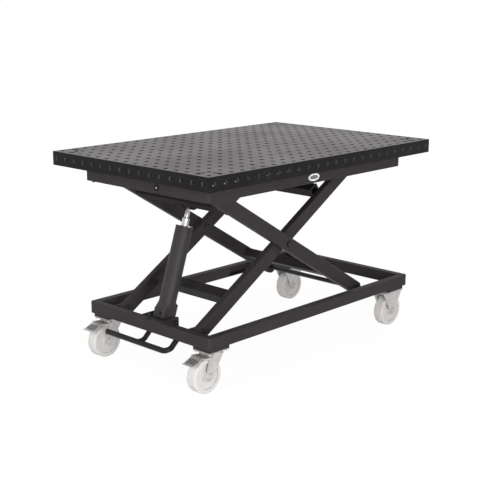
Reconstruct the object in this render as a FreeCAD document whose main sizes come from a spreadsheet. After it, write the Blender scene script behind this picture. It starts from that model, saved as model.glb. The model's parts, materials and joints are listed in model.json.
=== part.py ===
import FreeCAD, Part
import Sketcher
import math
import os
import re

# Mobile lift table: a perforated steel fixture plate on a scissor lift with a
# foot-pumped hydraulic cylinder, standing on two braked swivel casters and two
# fixed casters. Millimetres and degrees. +X runs along the table away from the
# pedal end, +Y is the left side, +Z is up, and the origin lies on the floor
# under the middle of the table. The lift is drawn near its lowest position.

DIMENSIONS = {
    # Fixture plate
    "plate_length": 1200,
    "plate_width": 800,
    "plate_height": 50,
    "plate_skin": 12,
    "plate_wall": 12,
    "hole_diameter": 16,
    "hole_pitch": 50,
    "slot_radius": 54,
    "slot_width": 12,
    "slot_start": 2,
    "slot_sweep": 26,
    "rib_thickness": 12,
    "cross_rib_spacing": 535,
    # Upper frame and base frame
    "base_length": 1130,
    "upper_length": 1050,
    "frame_inset": 78,
    "frame_width": 634,
    "rail_height": 43,
    "rail_depth": 30,
    "rail_wall": 5,
    "roller_zone": 180,
    "frame_corner_radius": 14,
    "spacer_height": 13,
    "spacer_length": 90,
    "spacer_width": 24,
    "spacer_spacing": 306,
    "sight_hole_diameter": 14,
    "sight_hole_offset": 69,
    "cheek_length": 95,
    "cheek_drop": 12,
    "cheek_bevel": 18,
    # Scissor arms
    "arm_length": 960,
    "lift_angle": 31.3,
    "arm_depth": 51,
    "arm_thickness": 28,
    "arm_wall": 3,
    "arm_corner_radius": 5,
    "arm_spread": 242,
    "arm_gap": 2,
    "pivot_setback": 72,
    "pin_diameter": 20,
    "pin_overhang": 4,
    "bush_wall": 4,
    "boss_wall": 4,
    "lug_thickness": 8,
    "lug_gap": 1,
    "lug_radius": 17,
    "axle_diameter": 18,
    "roller_width": 20,
    "roller_side_gap": 2,
    "roller_clearance": 0.3,
    "running_clearance": 0.05,
    "beam_length": 40,
    "beam_depth": 35,
    "beam_wall": 4,
    "inner_lower_beam_at": 176,
    "inner_lower_beam_depth": 39,
    "inner_lower_beam_drop": 2,
    "inner_upper_beam_at": 742,
    "inner_upper_beam_rise": 30,
    "outer_upper_beam_at": 128,
    "outer_upper_beam_length": 56,
    "outer_upper_beam_depth": 48,
    "outer_lower_beam_at": 788,
    # Hydraulic cylinder
    "trunnion_setback": 83,
    "trunnion_height": 25,
    "trunnion_diameter": 20,
    "trunnion_lug_at": 52,
    "trunnion_lug_thickness": 10,
    "trunnion_web_bottom": 3,
    "trunnion_web_top": 41,
    "trunnion_web_past": 17,
    "block_width_across": 54,
    "block_depth": 68,
    "block_start": 6,
    "block_level": 47,
    "block_corner_radius": 8,
    "trunnion_boss_diameter": 36,
    "tube_diameter": 62,
    "tube_wall": 7,
    "tube_reach": 339,
    "gland_height": 12,
    "rod_diameter": 26,
    "rod_swing_room": 3.6,
    "eye_distance": 171.5,
    "eye_diameter": 28,
    "eye_width": 28,
    "eye_pin_diameter": 12,
    "eye_lug_thickness": 8,
    "eye_lug_depth": 54,
    "neck_length": 31,
    "neck_diameter": 10,
    "collar_length": 12,
    "collar_diameter": 18,
    "rod_length": 300,
    "piston_height": 20,
    "valve_diameter": 14,
    "valve_length": 22,
    "valve_neck": 7,
    "plunger_diameter": 12,
    "plunger_length": 26,
    "plunger_seat": 18,
    "plunger_rise": 14,
    "plunger_stroke": 6,
    "plunger_end_gap": 2,
    # Foot pedal
    "pedal_reach": 32,
    "pedal_bar_height": 127.5,
    "pedal_bar_diameter": 20,
    "pedal_bend_radius": 22,
    "pedal_arm_diameter": 18,
    "pedal_free_end": 184,
    "pedal_left_arm": 1,
    "pedal_right_arm": 139,
    "pedal_shaft_setback": 42,
    "pedal_shaft_height": 17,
    "pedal_shaft_diameter": 16,
    "pedal_notch_gap": 3,
    "pedal_knee_radius": 14,
    "pedal_knee_reach": 8,
    "pedal_knee_height": 135.5,
    # Casters
    "caster_height": 149.5,
    "caster_block_thickness": 14,
    "caster_block_length": 92,
    "caster_block_width": 84,
    "caster_plate_length": 96,
    "caster_plate_width": 80,
    "caster_plate_thickness": 5,
    "front_caster_setback": 59,
    "rear_caster_setback": 63,
    "caster_inset": 51,
    "caster_trail": 36,
    "wheel_diameter": 125,
    "wheel_width": 42,
    "wheel_edge_radius": 6,
    "wheel_recess_depth": 5,
    "wheel_recess_inner_diameter": 44,
    "wheel_recess_outer_diameter": 94,
    "hub_diameter": 40,
    "hub_width": 48,
    "wheel_axle_diameter": 12,
    "axle_nut_size": 19,
    "axle_nut_height": 7,
    "fork_gap": 50,
    "fork_wall": 4,
    "fixed_fork_length": 120,
    "fork_rear_reach": 32,
    "fork_front_reach": 30,
    "fork_bridge_reach": 20,
    "fork_foot_radius": 17,
    "fork_bridge_height": 5,
    "swivel_head_height": 9,
    "swivel_head_diameter": 62,
    "swivel_clearance": 0.3,
    "king_pin_diameter": 16,
    # Brake pedals
    "brake_tip_reach": 113,
    "brake_tip_height": 117,
    "brake_crest_reach": 65,
    "brake_crest_height": 134,
    "brake_root_reach": 34,
    "brake_root_height": 131,
    "brake_width": 50,
    "brake_sheet": 3,
    "brake_lip_length": 9,
    "brake_pivot_reach": 24,
    "brake_pivot_height": 128,
    "brake_pivot_diameter": 6,
    "brake_cheek_front": 5,
    "brake_cheek_rear": 4,
    "brake_cheek_gap": 0.4,
}

DERIVED = {
    "overall_length": "max(plate_length; frame_inset + base_length)",
    "plate_front": "-overall_length / 2",
    "plate_middle": "plate_front + plate_length / 2",
    "frame_front": "plate_front + frame_inset",
    "base_rear": "frame_front + base_length",
    "upper_rear": "frame_front + upper_length",
    "frame_half": "frame_width / 2",
    "base_bottom": "caster_height + caster_block_thickness",
    "base_top": "base_bottom + rail_height",
    "lower_pivot_z": "base_bottom + rail_height / 2",
    "pivot_x": "frame_front + pivot_setback",
    "arm_rise": "arm_length * sin(lift_angle)",
    "arm_run": "arm_length * cos(lift_angle)",
    "upper_pivot_z": "lower_pivot_z + arm_rise",
    "roller_x": "pivot_x + arm_run",
    "upper_bottom": "upper_pivot_z - rail_height / 2",
    "upper_top": "upper_bottom + rail_height",
    "plate_bottom": "upper_top + spacer_height",
    "plate_top_z": "plate_bottom + plate_height",
    "skin_bottom": "plate_top_z - plate_skin",
    "rim_height": "plate_height - plate_skin",
    "hole_radius": "hole_diameter / 2",
    "hole_edge": "hole_pitch / 2",
    "hole_columns": "floor((plate_length - hole_pitch) / hole_pitch + 0.001) + 1",
    "hole_rows": "floor((plate_width - hole_pitch) / hole_pitch + 0.001) + 1",
    "outer_arm_inside": "arm_spread - arm_thickness",
    "inner_arm_outside": "outer_arm_inside - arm_gap",
    "inner_arm_inside": "inner_arm_outside - arm_thickness",
    "pin_radius": "pin_diameter / 2",
    "bush_bore": "pin_radius + running_clearance",
    "bush_radius": "bush_bore + bush_wall",
    "bush_seat": "bush_radius + running_clearance / 2",
    "boss_radius": "bush_seat + boss_wall",
    "axle_radius": "axle_diameter / 2",
    "axle_bore": "axle_radius + running_clearance",
    "roller_radius": "rail_height / 2 - rail_wall - roller_clearance",
    "roller_outside": "frame_half - rail_wall - roller_side_gap",
    "trunnion_x": "frame_front + trunnion_setback",
    "trunnion_z": "base_bottom + trunnion_height",
    "eye_x": "pivot_x + eye_distance * cos(lift_angle)",
    "eye_z": "upper_pivot_z - eye_distance * sin(lift_angle)",
    "pump_lean": "atan((eye_x - trunnion_x) / (eye_z - trunnion_z))",
    "pump_length": "sqrt((eye_x - trunnion_x)^2 + (eye_z - trunnion_z)^2)",
    "block_top": "block_level + block_depth / 2 * tan(pump_lean)",
    "valve_z": "(block_start + block_level) / 2",
    "plunger_z": "block_start + plunger_rise",
    "tube_bore": "tube_diameter / 2 - tube_wall",
    "gland_bottom": "tube_reach - gland_height",
    "rod_radius": "rod_diameter / 2",
    "rod_end": "pump_length - rod_length",
    "rod_top": "pump_length - eye_diameter / 2 - neck_length - collar_length",
    "pedal_bar_x": "frame_front - pedal_reach",
    "pedal_shaft_x": "frame_front + pedal_shaft_setback",
    "pedal_shaft_z": "base_bottom + pedal_shaft_height",
    "pedal_knee_x": "frame_front - pedal_knee_reach",
    "pedal_notch_half": "pedal_bar_diameter / 2 + pedal_notch_gap",
    "front_caster_x": "frame_front + front_caster_setback",
    "rear_caster_x": "base_rear - rear_caster_setback",
    "caster_y": "frame_half - caster_inset",
    "wheel_radius": "wheel_diameter / 2",
    "fork_half": "fork_gap / 2 + fork_wall",
    "caster_plate_bottom": "caster_height - caster_plate_thickness",
    "swivel_top": "caster_plate_bottom - swivel_clearance",
    "front_fork_top": "swivel_top - swivel_head_height",
    "brake_half": "fork_half + brake_cheek_gap + brake_sheet",
}

SIDES = {"left": 1, "right": -1}
X_AXIS = FreeCAD.Vector(1, 0, 0)
Y_AXIS = FreeCAD.Vector(0, 1, 0)
Z_AXIS = FreeCAD.Vector(0, 0, 1)
ALONG = {
    "x": FreeCAD.Rotation(Y_AXIS, 90),
    "y": FreeCAD.Rotation(X_AXIS, -90),
    "z": FreeCAD.Rotation(),
}
OVERCUT = "2"

doc = FreeCAD.newDocument("mobile_lift_table")
pieces = []


def formula(text):
    """Put the sheet's name in front of every dimension named in a formula."""
    def owned(match):
        word = match.group(0)
        if word in DIMENSIONS:
            return f"Dimensions.{word}"
        if word in DERIVED:
            return f"Derived.{word}"
        return word
    return re.sub(r"[a-z]\w*", owned, str(text))


def make_sheets():
    """Fill the sheet of driving dimensions and the sheet worked out from it."""
    driving = doc.addObject("Spreadsheet::Sheet", "Dimensions")
    worked_out = doc.addObject("Spreadsheet::Sheet", "Derived")
    for row, (alias, number) in enumerate(DIMENSIONS.items(), start=1):
        driving.set(f"A{row}", alias)
        driving.set(f"B{row}", str(number))
        driving.setAlias(f"B{row}", alias)
    doc.recompute()
    for row, (alias, text) in enumerate(DERIVED.items(), start=1):
        worked_out.set(f"A{row}", alias)
        worked_out.set(f"B{row}", "=" + formula(text).replace("Derived.", ""))
        worked_out.setAlias(f"B{row}", alias)
    doc.recompute()
    return driving, worked_out


def value(alias):
    """Read one dimension as a plain number."""
    sheet = sheets[0] if alias in DIMENSIONS else sheets[1]
    return float(sheet.get(alias))


def bind(item, formulas):
    """Tie properties of an object to formulas on the sheets."""
    for path, text in formulas.items():
        item.setExpression(path, formula(text))


def move(item, x, y, z):
    """Place an object by formulas, keeping the way it is turned."""
    bind(item, {"Placement.Base.x": x, "Placement.Base.y": y, "Placement.Base.z": z})
    return item


def turn(item, axis, angle, x, y, z):
    """Turn an object about an axis through its own origin, then place it."""
    item.Placement = FreeCAD.Placement(FreeCAD.Vector(), FreeCAD.Rotation(axis, 0))
    bind(item, {"Placement.Rotation.Angle": angle})
    return move(item, x, y, z)


def box(name, x, y, z):
    """A block between two formulas along each of X, Y and Z."""
    item = doc.addObject("Part::Box", name)
    spans = {"Length": x, "Width": y, "Height": z}
    bind(item, {side: f"({high}) - ({low})" for side, (low, high) in spans.items()})
    return move(item, x[0], y[0], z[0])


def cylinder(name, radius, length, x, y, z, along="z"):
    """A round bar that starts at a point and runs along one axis."""
    item = doc.addObject("Part::Cylinder", name)
    bind(item, {"Radius": radius, "Height": length})
    item.Placement = FreeCAD.Placement(FreeCAD.Vector(), ALONG[along])
    return move(item, x, y, z)


def cross_bar(name, radius, x, z, low, high):
    """A round bar across the table, from one Y to another."""
    return cylinder(name, radius, f"({high}) - ({low})", x, low, z, along="y")


def cross_hole(name, radius, x, z, span):
    """A round bar across the table that stands out past both ends of a span, to drill it with."""
    return cross_bar(name, radius, x, z, f"({span[0]}) - {OVERCUT}", f"({span[1]}) + {OVERCUT}")


def taper(name, bottom, top, y, z):
    """A plate whose length along X changes evenly from its foot to its top."""
    item = doc.addObject("Part::Wedge", name)
    bind(item, {
        "Xmin": bottom[0], "Xmax": bottom[1], "X2min": top[0], "X2max": top[1],
        "Ymin": z[0], "Ymax": z[1],
        "Zmin": f"-({y[1]})", "Zmax": f"-({y[0]})", "Z2min": f"-({y[1]})", "Z2max": f"-({y[0]})",
    })
    item.Placement = FreeCAD.Placement(FreeCAD.Vector(), FreeCAD.Rotation(X_AXIS, 90))
    return item


def fuse(name, *items):
    """Join solids into one."""
    item = doc.addObject("Part::MultiFuse", name)
    item.Shapes = list(items)
    item.Refine = True
    return item


def cut(name, base, *tools):
    """Take one or more solids out of another."""
    item = doc.addObject("Part::Cut", name)
    item.Base = base
    item.Tool = tools[0] if len(tools) == 1 else fuse(name + "_tools", *tools)
    return item


def common(name, first, second):
    """Keep what two solids share."""
    item = doc.addObject("Part::Common", name)
    item.Base = first
    item.Tool = second
    return item


def group(name, items):
    """Put separate solids of one kind together."""
    item = doc.addObject("Part::Compound", name)
    item.Links = list(items)
    return item


def rounded(name, base, radius, chosen):
    """Fillet the edges of a solid that pass a test."""
    doc.recompute()
    item = doc.addObject("Part::Fillet", name)
    item.Base = base
    edges = [n for n, edge in enumerate(base.Shape.Edges, start=1) if chosen(edge)]
    item.Edges = [(n, radius, radius) for n in edges]
    return item


def runs_along(edge, axis):
    """Tell whether a straight edge lies along an axis."""
    if not isinstance(edge.Curve, Part.Line):
        return False
    return abs(abs(edge.tangentAt(edge.FirstParameter).dot(axis)) - 1) < 1e-6


def piece(label, item):
    """Name a finished sub-part and keep it for export."""
    item.Label = label
    pieces.append(item)
    return item


def mirrored_span(side, low, high):
    """A span of Y given for the left side, on either side of the table."""
    if side > 0:
        return low, high
    return f"-({high})", f"-({low})"


def end_rail(label, front, z, sign, opens_down=False, sight_hole=False, notches=()):
    """A channel across the frame, open to the middle or downwards, with closed rounded ends."""
    back = f"({front}) + {sign} * rail_depth"
    low_x, high_x = (front, back) if sign > 0 else (back, front)
    outside = box(label + "_bar", (low_x, high_x), ("-frame_half", "frame_half"), z)

    def outer_corner(edge):
        across = edge.CenterOfMass.x
        bounds = outside.Shape.BoundBox
        outermost = bounds.XMin if sign > 0 else bounds.XMax
        return runs_along(edge, Z_AXIS) and abs(across - outermost) < 1e-6

    bar = rounded(label + "_rounded", outside, value("frame_corner_radius"), outer_corner)
    inner = f"({front}) + {sign} * rail_wall"
    past = f"({back}) - {sign} * rail_wall" if opens_down else f"({back}) + {sign} * {OVERCUT}"
    floor = f"({z[0]}) - {OVERCUT}" if opens_down else f"({z[0]}) + rail_wall"
    hollow_x = (inner, past) if sign > 0 else (past, inner)
    hollow = box(label + "_hollow", hollow_x,
                 ("-frame_half + frame_corner_radius", "frame_half - frame_corner_radius"),
                 (floor, f"({z[1]}) - rail_wall"))
    tools = [hollow]
    for number, y in enumerate(notches):
        tools.append(box(f"{label}_notch_{number}", hollow_x,
                         (f"{y} - pedal_notch_half", f"{y} + pedal_notch_half"),
                         (f"({z[0]}) - {OVERCUT}", f"({z[0]}) + rail_wall + {OVERCUT}")))
    if sight_hole:
        tools.append(cylinder(label + "_sight", "sight_hole_diameter / 2", "rail_depth",
                              f"({front}) - {OVERCUT}", "-sight_hole_offset", f"({z[0]}) + rail_height / 2",
                              along="x"))
    return piece(label, cut(label + "_channel", bar, *tools))


def side_rail(label, side, rear, z, cheek=False):
    """A tube along the frame, open inwards over the stretch in which the rollers run."""
    ends = ("frame_front + rail_depth", f"({rear}) - rail_depth")
    bar = box(label + "_bar", ends, mirrored_span(side, "frame_half - rail_depth", "frame_half"), z)
    height = (f"({z[0]}) + rail_wall", f"({z[1]}) - rail_wall")
    past = f"({ends[1]}) + {OVERCUT}"
    inside = mirrored_span(side, "frame_half - rail_depth + rail_wall", "frame_half - rail_wall")
    hollow = box(label + "_hollow", (f"({ends[0]}) - {OVERCUT}", past), inside, height)
    through = mirrored_span(side, f"frame_half - rail_depth - {OVERCUT}", "frame_half - rail_wall")
    opening = box(label + "_opening", ("roller_x - roller_zone", past), through, height)
    rail = cut(label + "_channel", bar, hollow, opening)
    if cheek:
        hanging = taper(label + "_cheek", (ends[0], f"{ends[0]} + cheek_length"),
                        (ends[0], f"{ends[0]} + cheek_length + cheek_bevel"),
                        mirrored_span(side, "frame_half - rail_wall", "frame_half"),
                        (f"({z[0]}) - cheek_drop", z[0]))
        rail = fuse(label + "_with_cheek", rail, hanging)
    return piece(label, rail)


def lug(name, side, low, high, z, pin_x, reach_from, radius, bore):
    """A plate from a rail to a pin, with a round nose and a hole for the pin."""
    span = mirrored_span(side, low, high)
    web = box(name + "_web", (reach_from, pin_x), span, (f"({z}) - ({radius})", f"({z}) + ({radius})"))
    nose = cross_bar(name + "_nose", radius, pin_x, z, *span)
    return cut(name, fuse(name + "_plate", web, nose), cross_hole(name + "_hole", bore, pin_x, z, span))


def make_base():
    """The base frame: two end rails, two roller rails, lugs and pivot pins."""
    z = ("base_bottom", "base_top")
    end_rail("base_front_rail", "frame_front", z, 1, notches=("pedal_left_arm", "-pedal_right_arm"))
    end_rail("base_rear_rail", "base_rear", z, -1, opens_down=True)
    for name, side in SIDES.items():
        side_rail(f"base_{name}_rail", side, "base_rear", z)
    pivot_set("lower", "lower_pivot_z", "inner_arm_inside", "inner_arm_outside")
    pump_lugs = []
    for name, side in SIDES.items():
        span = mirrored_span(side, "trunnion_lug_at", "trunnion_lug_at + trunnion_lug_thickness")
        plate = box(f"pump_lug_{name}_plate",
                    ("frame_front + rail_depth", "trunnion_x + trunnion_web_past"), span,
                    ("base_bottom + trunnion_web_bottom", "base_bottom + trunnion_web_top"))
        trunnion_hole = cross_hole(f"pump_lug_{name}_hole", "trunnion_diameter / 2 + running_clearance",
                                   "trunnion_x", "trunnion_z", span)
        shaft_hole = cross_hole(f"pump_lug_{name}_shaft_hole",
                                "pedal_shaft_diameter / 2 + running_clearance",
                                "pedal_shaft_x", "pedal_shaft_z", span)
        pump_lugs.append(cut(f"pump_lug_{name}", plate, trunnion_hole, shaft_hole))
    piece("pump_lugs", group("pump_lug_pair", pump_lugs))


def pivot_set(level, z, inside, outside):
    """Four lugs on an end rail and the two pins that the arm ends turn on."""
    lugs = []
    pins = []
    for name, side in SIDES.items():
        walls = (
            (f"{inside} - lug_gap - lug_thickness", f"{inside} - lug_gap"),
            (f"{outside} + lug_gap", f"{outside} + lug_gap + lug_thickness"),
        )
        for number, (low, high) in enumerate(walls):
            lugs.append(lug(f"{level}_lug_{name}_{number}", side, low, high, z, "pivot_x",
                            "frame_front + rail_depth", "lug_radius", "pin_radius + running_clearance / 2"))
        ends = mirrored_span(side, f"{walls[0][0]} - pin_overhang", f"{walls[1][1]} + pin_overhang")
        pins.append(cross_bar(f"{level}_pin_{name}", "pin_radius", "pivot_x", z, *ends))
    piece(f"{level}_pivot_lugs", group(f"{level}_lugs", lugs))
    piece(f"{level}_pivot_pins", group(f"{level}_pins", pins))


def arm(label, side, inside, outside, seats):
    """One arm: a rectangular tube with round ends and cross bosses, drawn along +X from its first pivot."""
    span = mirrored_span(side, inside, outside)
    half = "arm_depth / 2"
    bar = box(label + "_bar", (f"-{half}", f"arm_length + {half}"), span, (f"-{half}", half))
    skin = rounded(label + "_skin", bar, value("arm_corner_radius"), lambda edge: runs_along(edge, X_AXIS))
    hollow = box(label + "_hollow", (f"-{half} - {OVERCUT}", f"arm_length + {half} + {OVERCUT}"),
                 (f"({span[0]}) + arm_wall", f"({span[1]}) - arm_wall"),
                 (f"-{half} + arm_wall", f"{half} - arm_wall"))
    outline = fuse(label + "_outline",
                   box(label + "_straight", ("0", "arm_length"), span, (f"-{half}", half)),
                   cross_bar(label + "_first_round", half, "0", "0", *span),
                   cross_bar(label + "_last_round", half, "arm_length", "0", *span))
    tube = common(label + "_tube", cut(label + "_hollowed", skin, hollow), outline)
    bosses = []
    bores = []
    for number, (at, radius) in enumerate(seats):
        bosses.append(cross_bar(f"{label}_boss_{number}", "boss_radius", at, "0", *span))
        bores.append(cross_bar(f"{label}_bore_{number}", radius, at, "0",
                               f"({span[0]}) - {OVERCUT}", f"({span[1]}) + {OVERCUT}"))
    return piece(label, cut(label + "_bored", fuse(label + "_welded", tube, *bosses), *bores))


def beam(label, at, rise, half_width, length="beam_length", depth="beam_depth"):
    """A square tube across the table between two arms, drawn in the arms' own frame."""
    x = (f"{at} - {length} / 2", f"{at} + {length} / 2")
    z = (f"({rise}) - {depth} / 2", f"({rise}) + {depth} / 2")
    bar = box(label + "_bar", x, (f"-({half_width})", half_width), z)
    hollow = box(label + "_hollow", (f"{x[0]} + beam_wall", f"{x[1]} - beam_wall"),
                 (f"-({half_width}) - {OVERCUT}", f"{half_width} + {OVERCUT}"),
                 (f"{z[0]} + beam_wall", f"{z[1]} - beam_wall"))
    return piece(label, cut(label + "_tube", bar, hollow))


def bushes(label, seats):
    """Plain bearing bushes pressed into the arms' bosses."""
    rings = []
    for number, (at, side, inside, outside) in enumerate(seats):
        span = mirrored_span(side, inside, outside)
        sleeve = cross_bar(f"{label}_sleeve_{number}", "bush_radius", at, "0", *span)
        bore = cross_bar(f"{label}_bore_{number}", "bush_bore", at, "0",
                         f"({span[0]}) - {OVERCUT}", f"({span[1]}) + {OVERCUT}")
        rings.append(cut(f"{label}_{number}", sleeve, bore))
    return piece(label, group(label + "_set", rings))


def lean_inner(item):
    """Set a piece of the inner arms at the lift angle on the lower pivots."""
    return turn(item, -Y_AXIS, "lift_angle", "pivot_x", "0", "lower_pivot_z")


def lean_outer(item):
    """Set a piece of the outer arms at the lift angle under the upper pivots."""
    return turn(item, Y_AXIS, "lift_angle", "pivot_x", "0", "upper_pivot_z")


def make_inner_arms():
    """The inner arms rise from the lower pivots to the rollers in the upper frame."""
    span = ("inner_arm_inside", "inner_arm_outside")
    seats = (("0", "bush_seat"), ("arm_length / 2", "pin_radius + running_clearance / 2"),
             ("arm_length", "axle_bore"))
    for name, side in SIDES.items():
        lean_inner(arm(f"inner_arm_{name}", side, *span, seats))
    lean_inner(beam("inner_lower_beam", "inner_lower_beam_at", "-inner_lower_beam_drop", "inner_arm_inside",
                    depth="inner_lower_beam_depth"))
    lean_inner(beam("inner_upper_beam", "inner_upper_beam_at", "inner_upper_beam_rise", "inner_arm_inside"))
    lean_inner(bushes("inner_arm_bushes", [("0", side, *span) for side in SIDES.values()]))
    pins = []
    for name, side in SIDES.items():
        ends = mirrored_span(side, "inner_arm_inside - pin_overhang", "arm_spread + pin_overhang")
        pins.append(cross_bar(f"centre_pin_{name}", "pin_radius", "arm_length / 2", "0", *ends))
    lean_inner(piece("centre_pins", group("centre_pin_pair", pins)))


def make_outer_arms():
    """The outer arms hang from the upper pivots down to the rollers in the base frame."""
    span = ("outer_arm_inside", "arm_spread")
    seats = (("0", "bush_seat"), ("arm_length / 2", "bush_seat"), ("arm_length", "axle_bore"))
    for name, side in SIDES.items():
        lean_outer(arm(f"outer_arm_{name}", side, *span, seats))
    lean_outer(beam("outer_upper_beam", "outer_upper_beam_at", "0", "outer_arm_inside",
                    "outer_upper_beam_length", "outer_upper_beam_depth"))
    lean_outer(beam("outer_lower_beam", "outer_lower_beam_at", "0", "outer_arm_inside"))
    rings = [(at, side, *span) for at in ("0", "arm_length / 2") for side in SIDES.values()]
    lean_outer(bushes("outer_arm_bushes", rings))
    inside = "eye_width / 2 + lug_gap"
    outside = f"{inside} + eye_lug_thickness"
    start = "outer_upper_beam_at + outer_upper_beam_length / 2"
    lugs = []
    for name, side in SIDES.items():
        plate = lug(f"rod_lug_{name}", side, inside, outside, "0", "eye_distance", start,
                    "eye_lug_depth / 2", "eye_pin_diameter / 2 + running_clearance / 2")
        beam_room = box(f"rod_lug_{name}_beam_room", (f"{start} - eye_lug_depth", start),
                        mirrored_span(side, f"{inside} - {OVERCUT}", f"{outside} + {OVERCUT}"),
                        ("-eye_lug_depth", "eye_lug_depth"))
        lugs.append(cut(f"rod_lug_{name}_seated", plate, beam_room))
    lean_outer(piece("rod_lugs", group("rod_lug_pair", lugs)))
    pin = cross_bar("rod_eye_bolt", "eye_pin_diameter / 2", "eye_distance", "0",
                    f"-({outside}) - pin_overhang", f"{outside} + pin_overhang")
    lean_outer(piece("rod_eye_pin", group("rod_eye_bolt_set", [pin])))


def make_rollers(level, z):
    """An axle through two arm ends with a roller on each end, inside the rails."""
    axle = cross_bar(f"{level}_axle_bar", "axle_radius", "roller_x", z, "-roller_outside", "roller_outside")
    piece(f"{level}_axle", axle)
    rollers = []
    for name, side in SIDES.items():
        span = mirrored_span(side, "roller_outside - roller_width", "roller_outside")
        tread = cross_bar(f"{level}_tread_{name}", "roller_radius", "roller_x", z, *span)
        bore = cross_hole(f"{level}_roller_bore_{name}", "axle_radius + running_clearance / 2",
                          "roller_x", z, span)
        rollers.append(cut(f"{level}_roller_{name}", tread, bore))
    piece(f"{level}_rollers", group(f"{level}_roller_pair", rollers))


def make_upper_frame():
    """The upper frame: end rails, roller rails, pivot lugs and the spacers that carry the plate."""
    z = ("upper_bottom", "upper_top")
    end_rail("upper_front_rail", "frame_front", z, 1, sight_hole=True)
    end_rail("upper_rear_rail", "upper_rear", z, -1, opens_down=True)
    for name, side in SIDES.items():
        side_rail(f"upper_{name}_rail", side, "upper_rear", z, cheek=True)
    pivot_set("upper", "upper_pivot_z", "outer_arm_inside", "arm_spread")
    spacers = []
    for name, side in SIDES.items():
        centre = f"{side} * (frame_half - rail_depth / 2)"
        for number in (-1, 0, 1):
            middle = f"plate_middle + {number} * spacer_spacing"
            spacers.append(box(f"spacer_{name}_{number + 1}",
                               (f"{middle} - spacer_length / 2", f"{middle} + spacer_length / 2"),
                               (f"{centre} - spacer_width / 2", f"{centre} + spacer_width / 2"),
                               ("upper_top", "plate_bottom")))
    piece("plate_spacers", group("spacer_set", spacers))


def origin_plane(body, role):
    """Find one of a body's own origin planes."""
    return next(item for item in body.Origin.OriginFeatures if item.Role == role)


def sketch_on(body, plane, name):
    """Start a sketch on one of a body's origin planes."""
    sketch = body.newObject("Sketcher::SketchObject", name)
    sketch.AttachmentSupport = [(plane, "")]
    sketch.MapMode = "FlatFace"
    return sketch


def perforated_panel(name, length, width, thickness, columns, rows, first):
    """A flat bar with a grid of through holes, drawn from its corner upwards."""
    body = doc.addObject("PartDesign::Body", name)
    plane = origin_plane(body, "XY_Plane")
    outline = sketch_on(body, plane, name + "_outline")
    corners = [FreeCAD.Vector(*corner, 0) for corner in ((0, 0), (100, 0), (100, 100), (0, 100))]
    for start, end in zip(corners, corners[1:] + corners[:1]):
        outline.addGeometry(Part.LineSegment(start, end))
    for edge in range(4):
        outline.addConstraint(Sketcher.Constraint("Coincident", edge, 2, (edge + 1) % 4, 1))
        outline.addConstraint(Sketcher.Constraint("Horizontal" if edge % 2 == 0 else "Vertical", edge))
    outline.addConstraint(Sketcher.Constraint("Coincident", 0, 1, -1, 1))
    long_side = outline.addConstraint(Sketcher.Constraint("DistanceX", 0, 1, 0, 2, 100))
    outline.setExpression(f"Constraints[{long_side}]", formula(length))
    short_side = outline.addConstraint(Sketcher.Constraint("DistanceY", 1, 1, 1, 2, 100))
    outline.setExpression(f"Constraints[{short_side}]", formula(width))
    slab = body.newObject("PartDesign::Pad", name + "_slab")
    slab.Profile = outline
    bind(slab, {"Length": thickness})
    doc.recompute()

    hole = sketch_on(body, plane, name + "_hole")
    hole.addGeometry(Part.Circle(FreeCAD.Vector(25, 25, 0), Z_AXIS, 8))
    sizes = (("Radius", (0,), "hole_radius"), ("DistanceX", (-1, 1, 0, 3), first[0]),
             ("DistanceY", (-1, 1, 0, 3), first[1]))
    for kind, where, text in sizes:
        number = hole.addConstraint(Sketcher.Constraint(kind, *where, 8))
        hole.setExpression(f"Constraints[{number}]", formula(text))
    drilled = body.newObject("PartDesign::Pocket", name + "_drilled")
    drilled.Profile = hole
    drilled.Type = "ThroughAll"
    drilled.Reversed = True
    doc.recompute()
    if drilled.Shape.Volume >= slab.Shape.Volume:
        raise RuntimeError(f"the holes of {name} cut nothing")

    rows_and_columns = body.newObject("PartDesign::MultiTransform", name + "_grid")
    rows_and_columns.Originals = [drilled]
    steps = []
    for axis, count in (("H_Axis", columns), ("V_Axis", rows)):
        if count == "1":
            continue
        pattern = body.newObject("PartDesign::LinearPattern", f"{name}_{axis}")
        pattern.Direction = (outline, [axis])
        bind(pattern, {"Occurrences": count, "Length": f"hole_pitch * ({count} - 1)"})
        steps.append(pattern)
    rows_and_columns.Transformations = steps
    body.Tip = rows_and_columns
    return body


def corner_slots():
    """Two curved slots at each corner, swung about the corner hole from beside its neighbours."""
    slots = []
    low_z = f"skin_bottom - {OVERCUT}"
    depth = f"plate_skin + 2 * {OVERCUT}"
    for x_end in (-1, 1):
        for y_end in (-1, 1):
            x = f"plate_middle + {x_end} * (plate_length / 2 - hole_edge)"
            y = f"{y_end} * (plate_width / 2 - hole_edge)"
            inward = {(-1, -1): 0, (1, -1): 90, (1, 1): 180, (-1, 1): 270}[(x_end, y_end)]
            for start in (f"{inward} + slot_start", f"{inward} + 90 - slot_start - slot_sweep"):
                name = f"slot_{x_end + 1}{y_end + 1}{len(slots)}"
                outer = cylinder(name + "_outer", "slot_radius + slot_width / 2", depth, "0", "0", low_z)
                inner = cylinder(name + "_inner", "slot_radius - slot_width / 2", depth, "0", "0", low_z)
                bind(outer, {"Angle": "slot_sweep"})
                sweep = cut(name + "_sweep", outer, inner)
                turn(sweep, Z_AXIS, start, x, y, "0")
                ends = []
                for number, angle in enumerate((start, f"{start} + slot_sweep")):
                    ends.append(cylinder(f"{name}_end_{number}", "slot_width / 2", depth,
                                         f"{x} + slot_radius * cos({angle})",
                                         f"{y} + slot_radius * sin({angle})", low_z))
                slots.extend((sweep, *ends))
    return slots


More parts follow.
